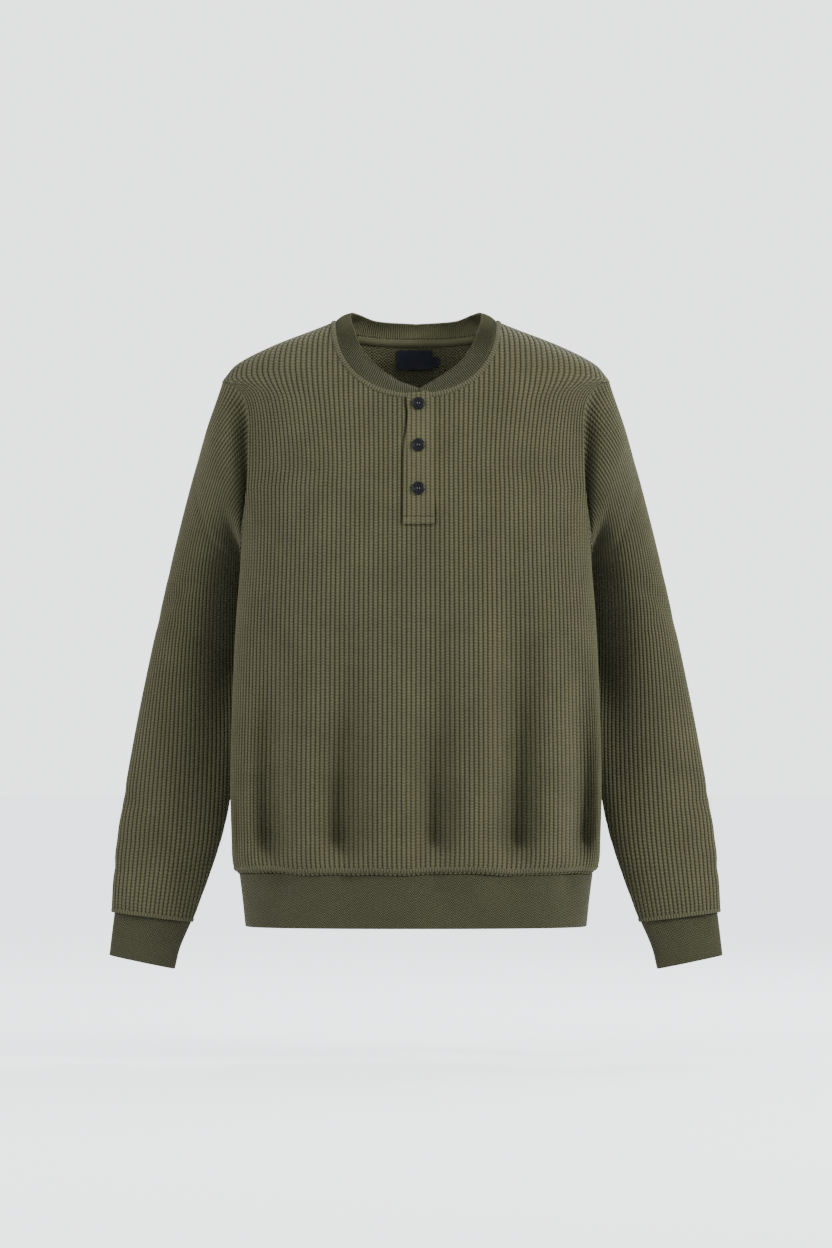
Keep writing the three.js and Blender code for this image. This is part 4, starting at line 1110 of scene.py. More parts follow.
@dataclass
class Sleeve:
    """A sleeve, from the armhole over the upper arm and down to the cuff seam."""

    side: int
    wardrobe: Wardrobe
    ribs: int = 80
    cap_rows: int = 34
    arm_rows: int = 100
    cap_dip: float = 22.0  # how far the cap falls in below the armhole's seam
    hollow_depth: float = 25.0  # how far the cloth falls back beside the body

    def armhole(self, share: np.ndarray) -> tuple[np.ndarray, np.ndarray, np.ndarray]:
        """The first row: on the panels' edges above, turned under them towards the underarm.

        Args:
            share: shares of the armhole from -1 over 0 at the shoulder tip to 1.

        Returns:
            The outer points, their outward normals and the way the cloth sets off.
        """
        turn, size = np.linspace(0, 1, 241), np.abs(share)
        z = FORM.armhole_z(turn)
        at_seam = (turn < 1e-9) | (turn > 1 - 1e-9)
        result = []
        for face in Face:
            length = np.where(at_seam, FORM.total(face, z), np.interp(z, FORM.z, FORM.arm[face]))
            x, y = FORM.section(face, z, length)
            edge = np.stack([x, face.value * (y + SEAM_GAP / 2), z], axis=-1)
            lengths = run_lengths(edge)
            n = unit(read_rows(size, lengths / lengths[-1], self._body_normal(face, z, length)))
            away = unit(np.cross(n, heading(edge, size, 0.02))) * -face.value
            result.append((read_path(edge, size), n, away))
        at, n, away = (np.where((share < 0)[:, None], front, back) for front, back in zip(*result))
        for v in (at, n, away):
            v[(size < 1e-9) | (size > 1 - 1e-9), 1] = 0
        n, away = unit(n), unit(away)
        swing = np.pi / 2 * ease((size - 0.5) / 0.5)[:, None]
        start = at - SLEEVE_UNDERLAP * (away * np.cos(swing) + n * np.sin(swing))
        return start, unit(n * np.cos(2 * swing) - away * np.sin(2 * swing)), away

    @staticmethod
    def _body_normal(face: Face, z: np.ndarray, length: np.ndarray) -> np.ndarray:
        """The body's normal at a length along a section, by small steps along it and up."""

        def at(dz: float, dl: float) -> np.ndarray:
            """The body's points, a step up and a step along."""
            x, y = FORM.section(face, z + dz, length + dl)
            return np.stack([x, face.value * y, z + dz], axis=-1)

        across = at(0, 0.5) - at(0, -1.5)
        up = at(1.5, 0) - at(-1.5, 0)
        return unit(np.cross(across, up)) * -face.value

    def surface(self) -> tuple[np.ndarray, np.ndarray, np.ndarray, np.ndarray]:
        """Lay out the sleeve on the wearer's left.

        From the first ring down, the rings' sizes follow smooth curves. Above it, each column is a
        cubic from the armhole to that ring.

        Returns:
            The crest points, outward normals, the knit map and how many ribs run on each side.
        """
        c = np.linspace(-self.ribs / 2, self.ribs / 2, self.ribs * RIB_POINTS + 1)
        last = SLEEVE_KEYS[-1]
        t = np.linspace(1, last, self.arm_rows + 1)
        t = np.concatenate([t[t < last - 1], np.linspace(last - 1, last, 9)])
        rings = curve_through(SLEEVE_KEYS, SLEEVE_RINGS, t)
        points, normals = ring_points(rings[:, :6], np.clip(c[None, :] / rings[:, 6, None], -1, 1))
        first = np.clip(c / (self.ribs / 2), -1, 1)
        size = np.abs(first)
        start, start_out, away = self.armhole(first)
        chord = points[0] - start
        long = np.linalg.norm(chord, axis=-1, keepdims=True)
        under = ease((size - 0.35) / 0.5)[:, None]
        leave = unit(away * 0.45 + chord / long) * long * (1 - under) + chord * under
        arrive = (points[1] - points[0]) / (t[1] - t[0])
        arrive *= np.minimum(1, 1.1 * long / np.maximum(np.linalg.norm(arrive, axis=-1, keepdims=True), 1e-6))
        s = np.linspace(0, 1, self.cap_rows + 1)[:-1, None, None]
        cap = (2 * s**3 - 3 * s**2 + 1) * start + (s**3 - 2 * s**2 + s) * leave
        cap = cap + (3 * s**2 - 2 * s**3) * points[0] + (s**3 - s**2) * arrive
        deep = self.cap_dip * ease((size - 0.1) / 0.3) * ease((1 - size) / 0.2)
        dip = np.stack([-0.15 * deep, -deep * np.sign(first), 0 * deep], axis=-1)
        cap = cap + dip * (s / 0.14 * np.exp(1 - s / 0.14) * (1 - s))
        cap_out = unit(start_out * (1 - s) + normals[0] * s)
        points, normals = np.concatenate([cap, points]), np.concatenate([cap_out, normals])
        ribs = np.concatenate([np.full(self.cap_rows, self.ribs / 2), rings[:, 6]])
        down = -run_lengths(points[:, len(c) // 2])
        return points, normals, knit_map(c[None, :] + self.ribs / 2, down[:, None]), ribs

    def hollow(self, share: np.ndarray, along: np.ndarray) -> np.ndarray:
        """How far the cloth falls back beside the body, a Gaussian over a line on each side."""
        beside = bell(np.abs(share) - 0.76, 0.19) * ease(-along / 110) * ease((along + 570) / 220)
        return -np.sign(share) * self.hollow_depth * beside

    def relief(self, knit: np.ndarray) -> np.ndarray:
        """Soft creases: at the elbow's inner side and above the cuff, each a Gaussian over its line."""
        trough = np.zeros(knit.shape[:-1])
        for place, height, lean, depth, wide in SLEEVE_CREASES:
            px = (knit[..., 0] - self.ribs / 2 - place) * 4.5
            trough += depth * bell(knit[..., 1] - height - px * lean * 0.6, wide) * bell(px, 42)
        return trough

    def build(self) -> bpy.types.Object:
        """Make the sleeve, mirrored for the wearer's right."""
        points, normals, knit, ribs = self.surface()
        calm = np.clip(np.arange(len(points)) / self.cap_rows, 0, 1)[:, None]
        points = points - normals * (self.relief(knit) * calm)[..., None]
        across = knit[..., 0] - self.ribs / 2
        points[..., 1] += self.hollow(across / ribs[:, None], knit[..., 1])
        beyond = np.abs(across) >= ribs[:, None] - 1e-6
        height = np.where(beyond, -RIB_DEPTH, rib_height(knit[..., 0], RIB_DEPTH))
        outer, inner = ribbed_wall(points, normals, height)
        for grid in (outer, inner):
            grid[:, -1] = grid[:, 0]
            grid[..., 0] *= self.side
        centre = np.arange(self.ribs) + 0.5 - self.ribs / 2
        has = np.abs(centre) < ribs[:-1, None] + 0.5
        cloth = Cloth()
        sew_shell(cloth, outer, inner, knit, WRONG_SIDE_RIB, RIB_POINTS, has, closed=True)
        word = SIDES[self.side]
        piece = cloth.make(f"sleeve_{word}_knit", [self.wardrobe.waffle, self.wardrobe.inside])
        dress(piece, [f"sleeve_{word}"])
        return piece


@dataclass
class Band:
    """A folded band of fine rib round a hem or a wrist: a wall with a round fold along its free edge."""

    name: str
    node: str
    wardrobe: Wardrobe
    flat: tuple[float, float]

    @staticmethod
    def profile(rings: np.ndarray, normals: np.ndarray) -> np.ndarray:
        """Close the wall of a stack of rings: down the outside, round the fold and up the inside.

        Args:
            rings: the outer points, rows from the seam to the fold by places round the band.
            normals: their outward normals.

        Returns:
            The profile's points, rows round the wall by places.
        """
        radius = BAND_WALL / 2
        down = unit(rings[-1] - rings[-2])
        middle = rings[-1] - normals[-1] * radius - down * radius
        angle = np.linspace(0, np.pi, 7)[:, None, None]
        fold = middle + radius * (normals[-1] * np.cos(angle) + down * np.sin(angle))
        outer, inner = rings.copy(), rings - normals * BAND_WALL
        outer[0] -= 0.5 * normals[0]
        return np.concatenate([outer[:-1], fold, inner[-2::-1]])

    def build(self, rings: np.ndarray, normals: np.ndarray) -> bpy.types.Object:
        """Make the band from its outer rings."""
        profile = self.profile(rings, normals)
        around = run_lengths(np.concatenate([rings[0], rings[0][:1]]))
        heights = run_lengths(profile[:, 0])
        cloth = Cloth()
        closed = np.concatenate([profile, profile[:, :1]], axis=1)
        numbers = cloth.add_points(closed, knit_map(around[None, :], heights[:, None]))
        ahead = np.roll(numbers, -1, axis=0)
        cloth.add_faces(numbers[:, :-1], ahead[:, :-1], ahead[:, 1:], numbers[:, 1:])
        piece = cloth.make(self.name, [self.wardrobe.band])
        dress(piece, [self.node])
        return piece


HEM_SECTIONS = np.array(
    [  # z, half width, front depth, back depth
        (-640.4, 205, 96, 91),
        (-668, 201.5, 93, 88),
        (-702, 198, 91, 86),
    ]
)
HEM_SQUARE = 2.5
CUFF_RIPPLE = 0.7  # how far a cuff sways in and out, and up and down


def hem_rings(columns: int = 560) -> tuple[np.ndarray, np.ndarray]:
    """The hem band's outer rings: sections that draw in from the seam, with the body's folds dying out."""
    foot = HEM_SECTIONS[-1, 0]
    z = np.concatenate([[HEM_SECTIONS[0, 0], -641.2, -642.6, -645], np.linspace(-650, foot, 14)])
    half, front, back = (curve_through(-HEM_SECTIONS[:, 0], HEM_SECTIONS[:, k], -z) for k in (1, 2, 3))
    angle = np.linspace(0, TAU, 4 * columns + 1)
    s, c = (np.sign(v) * np.abs(v) ** (2 / HEM_SQUARE) for v in (np.sin(angle), np.cos(angle)))
    rings = []
    for i in range(len(z)):
        path = np.stack([half[i] * s, -np.where(c > 0, front[i], back[i]) * c, np.full_like(s, z[i])], axis=-1)
        rings.append(read_path(path, np.linspace(0, 1, columns + 1))[:-1])
    rings = np.array(rings)
    across = np.roll(rings, -1, axis=1) - np.roll(rings, 1, axis=1)
    normals = unit(np.stack([across[..., 1], -across[..., 0], np.zeros(across.shape[:2])], axis=-1))
    normals *= np.sign((normals * rings).sum(-1, keepdims=True))
    soft = np.clip((z - foot) / (HEM_SEAM_Z - foot), 0, 1)[:, None]
    x = rings[..., 0]
    around = np.linspace(0, 4, columns + 1)[:-1]
    share = np.where(around < 1, around, np.where(around < 3, 2 - around, around - 4))
    front = (around < 1) | (around >= 3)
    seam = np.full(columns, HEM_SEAM_Z)
    trough = np.where(front, FORM.relief(Face.FRONT, share, seam), FORM.relief(Face.BACK, share, seam))
    rings = rings - normals * (trough * soft**1.5)[..., None]
    rings[..., 2] += hem_wave(x) * soft
    return rings, normals


def cuff_rings(side: int, columns: int = 200) -> tuple[np.ndarray, np.ndarray]:
    """A cuff's outer rings, from the sleeve's end to the wrist."""
    t = np.concatenate([[0, 0.02, 0.06], np.linspace(0.12, 2, 14)])
    rings = curve_through(np.arange(3), CUFF_RINGS, t)
    share = np.linspace(-1, 1, columns + 1)[:-1]
    points, normals = ring_points(rings, np.broadcast_to(share, (len(t), columns)))
    points[..., 0] *= side
    normals[..., 0] *= side
    soft = np.clip(1 - t / 2, 0, 1)[:, None]
    turn = share * np.pi * 5
    points = points - normals * (CUFF_RIPPLE * (1 + np.sin(turn)) * soft)[..., None]
    points[..., 2] += CUFF_RIPPLE * np.sin(turn * 1.3) * soft
    return points, normals


COLLAR_TOP = np.array(
    [  # share of the neckline from the notch, x, y, z of the folded edge
        (0, 4.3, -73, -79.5),
        (0.04, 12, -65.5, -74.3),
        (0.107, 25, -61.5, -66.8),
        (0.221, 50, -60, -49),
        (0.318, 65, -54, -28.5),
        (0.43, 72, -37, -9),
        (0.51, 75, -20, 1),
        (0.59, 75, 2, 10),
        (0.75, 64, 28, 8.4),
        (0.845, 45, 41, 2.0),
        (1, 0, 50, -1.0),
    ]
)
NOTCH_X = 4.0
NOTCH_REACH = 0.06


class Neckline:
    """The seam between the body and the neck band, all round from the notch."""

    def __init__(self) -> None:
        """Read both sides' edges off the body's form."""
        self.sides = {side: self._side(side) for side in (1, -1)}

    @staticmethod
    def _edge(face: Face, side: int) -> tuple[np.ndarray, np.ndarray]:
        """One side of a face's neckline, from the middle to the shoulder, with the cloth's normals."""
        share = np.linspace(0, 0.6, 361) * side
        share = share[~FORM.on_shoulder(face, share)]
        z = FORM.top(face, share)
        return FORM.point(face, share, z), FORM.normal(face, share, z - 1.0)

    def _side(self, side: int) -> tuple[np.ndarray, np.ndarray]:
        """The neckline from the notch over one shoulder to the middle of the back, with its normals."""
        front, front_n = self._edge(Face.FRONT, side)
        back, back_n = self._edge(Face.BACK, side)
        corner = np.array([[NECK_HALF * side, 0.0, 0.0]])
        corner_n = unit(np.array([[0.45 * side, 0.0, 0.9]]))
        path = np.concatenate([front, corner, back[::-1]])
        normal = np.concatenate([front_n, corner_n, back_n[::-1]])
        first = int(np.argmax(path[:, 0] * side > NOTCH_X * side + 0.5))
        head = path[first].copy()
        head[0] = NOTCH_X
        path = np.concatenate([head[None], path[first:]])
        normal = np.concatenate([normal[first][None], normal[first:]])
        return path, normal

    def read(self, side: int, share: np.ndarray) -> tuple[np.ndarray, np.ndarray, np.ndarray]:
        """The seam's points, the cloth's normals and the way towards the neck, at shares of one side."""
        path, normal = self.sides[side]
        lengths = run_lengths(path)
        at = read_path(path, share)
        n = unit(read_rows(share, lengths / lengths[-1], normal))
        away = unit(np.cross(n, heading(path, share, 0.01)))
        towards = np.stack([-at[:, 0], -at[:, 1], np.full(len(at), 60.0)], axis=-1)
        return at, n, away * np.sign((away * towards).sum(-1, keepdims=True))

    def round(self, count: int) -> tuple[np.ndarray, np.ndarray, np.ndarray, np.ndarray]:
        """The whole seam, from the notch over the wearer's left side and back to the notch.

        Args:
            count: places on each side.

        Returns:
            Points, normals, ways towards the neck, and the signed share of each place.
        """
        share = np.linspace(0, 1, count + 1)
        left, right = self.read(1, share), self.read(-1, share[:-1][::-1])
        joined = [np.concatenate([a, b]) for a, b in zip(left, right)]
        signed = np.concatenate([share, -share[:-1][::-1]])
        return joined[0], joined[1], joined[2], signed


@dataclass
class NeckBand:
    """The folded strip round the neck, leaning in from its seam, its ends crossing in a notch."""

    neckline: Neckline
    wardrobe: Wardrobe
    wales: int = 236  # round the whole neck
    places: int = 4  # across one wale
    wale: float = 2.5
    depth: float = 1.2
    bulge: float = 1.7
    gap: float = 0.35  # between the seam and the band's foot
    rows: int = 12

    def top(self, signed: np.ndarray) -> np.ndarray:
        """The folded edge at signed shares of the neckline."""
        size = np.abs(signed)
        side = np.where(np.signbit(signed), -1.0, 1.0)
        xyz = curve_through(COLLAR_TOP[:, 0], COLLAR_TOP[:, 1:], size)
        near = np.clip(1 - size / NOTCH_REACH, 0, 1)
        xyz[:, 0] = side * xyz[:, 0] + np.where(side < 0, 2 * NOTCH_X * near, 0) + side * 0.15 * near
        return xyz

    def build(self) -> bpy.types.Object:
        """Make the band: outside up, round the fold and down the inside, its wales in the surface."""
        count = self.wales * self.places // 2
        foot, foot_n, away, signed = self.neckline.round(count)
        foot = foot + away * self.gap
        top = self.top(signed)
        up = top - foot
        out = unit(np.cross(up, np.gradient(top, axis=0)))
        out *= np.sign((out * foot_n).sum(-1, keepdims=True))
        t = np.linspace(0, 1, self.rows)[:, None, None]
        radius = BAND_WALL / 2
        reach = up * (1 - radius / np.linalg.norm(up, axis=-1, keepdims=True))
        normal = unit(foot_n * (1 - t) + out * t)
        outside = foot + reach * t + out * (self.bulge * 4 * t * (1 - t))
        inside = (outside - normal * BAND_WALL)[::-1]
        angle = np.linspace(0, np.pi, 8)[1:-1, None, None]
        crown = foot + reach - out * radius
        fold = crown + radius * (out * np.cos(angle) + unit(up) * np.sin(angle))
        wave = np.cos(TAU * np.arange(len(foot)) / self.places)[None, :, None]
        rib = self.depth * (wave - 1) / 2
        outside = outside + normal * rib * np.clip(t * 8, 0.35, 1)
        fold = fold + unit(fold - crown) * rib * 0.3
        inside = inside - normal[::-1] * rib * 0.7
        profile = np.concatenate([outside, fold, inside])
        around = np.arange(len(foot)) / self.places * self.wale
        # The inner side, from the fold down, takes the lining finish, painted lighter so the shaded inside of the
        # band looks lit.
        lined = np.zeros(len(profile), int)
        lined[self.rows + 4 : -1] = 1
        cloth = Cloth()
        sweep(cloth, profile.transpose(1, 0, 2), around, run_lengths(profile[:, count]), False, lined)
        piece = cloth.make("neck_band_knit", [self.wardrobe.collar, self.wardrobe.lining])
        dress(piece, ["neck_band"])
        return piece


@dataclass
class Welt:
    """A cover-stitched welt: a low round strip that follows a seam on the cloth.

    Its section is half an ellipse on a flat foot sunk just into the ribs.
    """

    name: str
    wardrobe: Wardrobe
    width: float
    rise: float
    sink: float = 1.0
    steps: int = 9
    stitch: float = 3.3

    def build(
        self, path: np.ndarray, normal: np.ndarray, across: np.ndarray, looped: bool, on: str
    ) -> bpy.types.Object:
        """Make the welt.

        Args:
            path: the middle of the welt, on the cloth.
            normal: the cloth's normals there.
            across: the way over the welt, away from the seam.
            looped: whether the path ends where it starts.
            on: the piece that it is sewn on; not used.

        Returns:
            The piece.
        """
        angle = np.linspace(0, np.pi, self.steps)[None, :, None]
        path, normal, across = path[:, None], normal[:, None], across[:, None]
        lengths = run_lengths(path[:, 0])
        bumps = 1 + 0.1 * np.cos(TAU * lengths / self.stitch)[:, None, None]
        arch = path - across * np.cos(angle) * self.width / 2 + normal * (np.sin(angle) ** 0.7 * self.rise * bumps)
        foot_at = np.linspace(0.5, -0.5, self.steps)[None, :, None]
        foot = path + across * foot_at * self.width - normal * self.sink
        over = np.concatenate([np.linspace(0, 6, self.steps), np.linspace(6, 12, self.steps)])
        cloth = Cloth()
        sweep(cloth, np.concatenate([arch, foot], axis=1), lengths, over, looped)
        piece = cloth.make(self.name, [self.wardrobe.welt])
        dress(piece)
        return piece


@dataclass
class Placket:
    """The overlap with its free edge on the wearer's right, and the button stand behind the opening."""

    wardrobe: Wardrobe
    bottom: float = -237.0
    opening: float = -226.0
    top: float = -83.6
    wide: float = 34.0
    lift: float = WAFFLE_WALL + SEAM_GAP + 0.25
    right_share: float = 8 / PANEL_RIBS
    box: float = 8.6  # the height of the stitched box at the foot
    hem: float = 3.6  # how far the line of stitches lies from the free edge
    rows: int = 96
    columns: int = 84

    def height(self, u: np.ndarray, z: np.ndarray) -> np.ndarray:
        """How far the overlap lies above the front: full over its free edge and foot, flush at its root."""
        level = 1 - ease((u - 0.5) / 0.5)
        foot = ease((z - self.opening) / 26)
        return self.lift * (1 - foot * (1 - level))

    def point(self, u: np.ndarray, z: np.ndarray) -> tuple[np.ndarray, np.ndarray, np.ndarray]:
        """The overlap's crest points, normals and rib numbers."""
        left = FORM.share_at_x(Face.FRONT, placket_edge(z), z)
        share = left + (self.right_share - 0.001 - left) * u
        points = FORM.point(Face.FRONT, share, z)
        normal = FORM.normal(Face.FRONT, share, np.minimum(z, -85.0))
        return points + normal * self.height(u, z)[..., None], normal, (share + 1) * PANEL_RIBS / 2

    def overlap(self) -> bpy.types.Object:
        """Make the overlap, its ribs in step with the front's at its root and pressed flat in the box."""
        z = [[self.bottom, self.bottom + 0.8], np.linspace(self.bottom + 2, self.top, self.rows)]
        u, z = np.meshgrid(np.linspace(0, 1, self.columns + 1), np.concatenate(z))
        drop = 0.35 * ((u - 0.62) * self.wide) ** 2 / 12
        z = z - np.where(z > -95, (z + 95) / 11.4, 0) * np.clip(drop, 0, 2.2)
        points, normal, rib = self.point(u, z)
        up = z - self.bottom
        edge = np.clip(u * self.wide / 3.2, 0, 1)
        foot = np.clip(up / 2.2, 0, 1)
        pressed = 0.3 + 0.15 * np.clip(np.abs(up - 4) / 3.6, 0, 1) ** 4
        crest = rib_height(rib, RIB_DEPTH) * 0.7 * ease(edge) * np.where(up < 8, pressed, 1.0)
        rounded = -1.3 * (1 - np.sqrt(1 - (1 - edge) ** 2 * 0.98)) - 0.9 * (1 - foot) ** 2
        stitch = -0.75 * bell(u * self.wide - self.hem, 0.7) * (up > 8)
        seam = 0.7 * ease((8 - up) / 1.5) - 1.3 * bell(up - self.box, 0.9)
        outer = points + normal * (crest + rounded + stitch + seam)[..., None]
        piece = sew_patch(
            "placket_knit",
            "placket_top",
            [self.wardrobe.facing, self.wardrobe.inside],
            outer,
            points - normal * WAFFLE_WALL,
            knit_map(rib, z),
            WRONG_SIDE_RIB,
        )
        return piece

    def stand(self) -> bpy.types.Object:
        """Make the button stand: a plain strip behind the opening."""
        x, z = np.meshgrid(np.linspace(-19.5, 26.0, 15), np.linspace(self.opening, -89, 40))
        share = FORM.share_at_x(Face.FRONT, x, z)
        normal = FORM.normal(Face.FRONT, share, z)
        outer = FORM.point(Face.FRONT, share, z) - normal * (WAFFLE_WALL + SEAM_GAP + 0.4)
        knits = [self.wardrobe.band, self.wardrobe.band]
        inner = outer - normal * 2
        piece = sew_patch("button_stand", "placket_under", knits, outer, inner, knit_map(x, z))
        return piece

    def foot_at(self, x: float, z: float) -> tuple[np.ndarray, np.ndarray]:
        """Where a button's back lies, and the way it faces."""
        zz = np.array([z])
        left = placket_edge(zz)
        right = FORM.section(Face.FRONT, zz, FORM.reach(Face.FRONT, np.array([self.right_share]), zz))[0]
        points, normal, _ = self.point((x - left) / (right - left), zz)
        return points[0] + normal[0] * SEAM_GAP, normal[0]


@dataclass
class Button:
    """A four-hole button with a round rim, a dished middle, and two bars of thread."""

    number: int
    at: np.ndarray
    facing: np.ndarray
    wardrobe: Wardrobe
    radius: float = 7.5
    thick: float = 3.0
    spread: float = 1.75  # from the middle to each hole
    hole: float = 0.85
    pit: float = 1.9  # how deep the holes are pressed
    edge: float = 0.9  # how far the outer edge is rounded
    rim: float = 1.9  # the width of the raised rim
    swell: float = 0.3  # how far the rim stands out
    dish: float = 0.75  # how far the middle lies below it
    sides: int = 96

    def frame(self) -> np.ndarray:
        """The button's axes: across, up and out, as rows."""
        out = unit(self.facing)
        across = unit(np.cross(np.array([0.0, 0.0, 1.0]), out))
        return np.stack([across, np.cross(out, across), out])

    def place(self, local: np.ndarray) -> np.ndarray:
        """Points in the button's own axes, moved to where it is sewn."""
        return self.at + local @ self.frame()

    def disc(self) -> bpy.types.Object:
        """Make the body: a profile turned about the axis, its holes pressed down as steep pits."""
        r, t = self.radius - self.edge, self.thick - self.swell
        steps = np.linspace(0, 1, 9)[1:]
        turned = np.linspace(-np.pi / 2, np.pi / 2, 11)
        edge_r, edge_z = r + self.edge * np.cos(turned), t / 2 * (1 + np.sin(turned))
        rim_r = r - steps * self.rim
        rim_z = t + self.swell * np.sin(steps * np.pi) - self.dish * ease((steps - 0.35) / 0.65)
        inner_r = np.linspace(rim_r[-1], 0.02, 26)[1:]
        inner_z = rim_z[-1] - 0.15 * np.cos(inner_r / rim_r[-1] * np.pi / 2)
        inner_z += rim_z[-1] - inner_z[0]
        back_r = np.array([0.02, 3.0, self.radius - 1.2])
        radii = np.concatenate([back_r, edge_r, rim_r, inner_r])
        heights = np.concatenate([np.zeros(3), edge_z, rim_z, inner_z])
        turn = np.linspace(0, TAU, self.sides + 1)[:-1]
        x = radii[:, None] * np.cos(turn)
        y = radii[:, None] * np.sin(turn)
        z = np.broadcast_to(heights[:, None], x.shape).copy()
        front = len(back_r) + len(edge_r)
        for i in range(4):
            angle = np.pi / 4 + i * np.pi / 2
            away = np.hypot(x - self.spread * np.cos(angle), y - self.spread * np.sin(angle))
            z[front:] -= (self.pit * (1 - ease((away - self.hole * 0.72) / (self.hole * 0.5))))[front:]
        points = self.place(np.stack([x, y, z], axis=-1))
        cloth = Cloth()
        numbers = cloth.add_points(points, np.stack([x, y], axis=-1))
        ahead = np.roll(numbers, -1, axis=1)
        cloth.add_faces(numbers[:-1], ahead[:-1], ahead[1:], numbers[1:])
        poles = cloth.add_points(self.place(np.array([[0, 0, 0.0], [0, 0, z[-1].mean()]])), np.zeros((2, 2)))
        for pole, end in zip(poles, (0, -1)):
            cloth.add_faces(np.full(self.sides, pole), ahead[end], numbers[end])
        piece = cloth.make(f"button_{self.number}_resin", [self.wardrobe.button], sharp=40)
        return dress(piece, [f"button_{self.number}"])

    def thread(self) -> bpy.types.Object:
        """Make the thread: two bars of three strands, each from one hole to the next and into both."""
        cloth = Cloth()
        h = self.spread * np.sqrt(0.5)
        t = np.linspace(0, 1, 13)
        turn = np.linspace(0, TAU, 9)[:-1]
        ring = np.stack([np.cos(turn), 0 * turn, np.sin(turn)], axis=-1) * 0.17
        for bar in (-1, 1):
            for strand in range(3):
                x = bar * h + (strand - 1) * 0.3 + 0 * t
                z = self.thick - 0.95 + 0.42 * np.sin(np.pi * t) ** 0.6 + 0.06 * (strand % 2)
                spine = np.stack([x, (t * 2 - 1) * h * 1.02, z], axis=-1)
                spine[[0, -1], 2] -= 1.0
                sweep(cloth, self.place(spine[:, None] + ring[None]), t, turn, looped=False)
        piece = cloth.make(f"button_{self.number}_thread", [self.wardrobe.thread])
        return dress(piece)


@dataclass
class Patch:
    """A woven label on the inside of the back, its lower edge standing a little off."""

    name: str
    node: str
    x: float
    z: float
    wide: float
    tall: float
    wall: float
    bow: float
    wardrobe: Wardrobe
    round: float = 1.6

    def build(self) -> bpy.types.Object:
        """Make the label: a thin wall with rounded corners and turned-in ends."""
        u, v = np.meshgrid(np.linspace(-1, 1, 33), np.linspace(0, 1, 21))
        corner = np.clip(np.abs(u) * self.wide / 2 - (self.wide / 2 - self.round), 0, self.round) / self.round
        inset = self.round * (1 - np.sqrt(1 - corner**2)) / self.tall
        v = inset + v * (1 - 2 * inset)
        x, z = self.x + u * self.wide / 2, self.z - self.tall / 2 + v * self.tall
        half = FORM.total(Face.BACK, z)
        length = bisect(lambda s: FORM.section(Face.BACK, z, s)[0] - np.abs(x), np.zeros_like(z), half)
        _, y = FORM.section(Face.BACK, z, length)
        off = self.bow * (1 - v) ** 2 * (1 - 0.5 * u**2) + 0.25 * np.sin(u * 4 + v * 3) * (1 - v)
        near = np.stack([x, y - WAFFLE_WALL - 1.0 - off, z], axis=-1)
        far = near.copy()
        far[..., 1] -= self.wall * (1 + 0.25 * (np.abs(u) > 0.9))
        weave = [self.wardrobe.label, self.wardrobe.label]
        piece = sew_patch(self.name, self.node, weave, near, far, knit_map(x, z), sharp=50)
        return piece


def neck_tape(wardrobe: Wardrobe) -> bpy.types.Object:
    """Make the tape inside the back neck: a smooth band under the seam with two rows of stitches."""
    share, drop = np.meshgrid(np.linspace(-25, 25, 161) / PANEL_RIBS, np.linspace(0, 1, 17))
    z = FORM.top(Face.BACK, share[0]) - 1.2 - 7.6 * drop
    points = FORM.point(Face.BACK, share, z)
    normal = FORM.normal(Face.BACK, share, z)
    groove = sum(bell(drop - place, 0.05) for place in (0.16, 0.84))
    stitches = 0.6 + 0.4 * np.cos(np.arange(1, z.shape[1] + 1) * TAU / 3)
    bulge = 0.9 + 1.1 * np.sin(np.pi * drop) ** 0.5 - 0.7 * groove * stitches
    outer = points - normal * (WAFFLE_WALL + SEAM_GAP + 0.2)
    inner = outer - normal * bulge[..., None]
    tapes = [wardrobe.tape, wardrobe.tape]
    piece = sew_patch("neck_tape_knit", "neck_tape", tapes, outer, inner, knit_map(points[..., 0], z))
    return piece


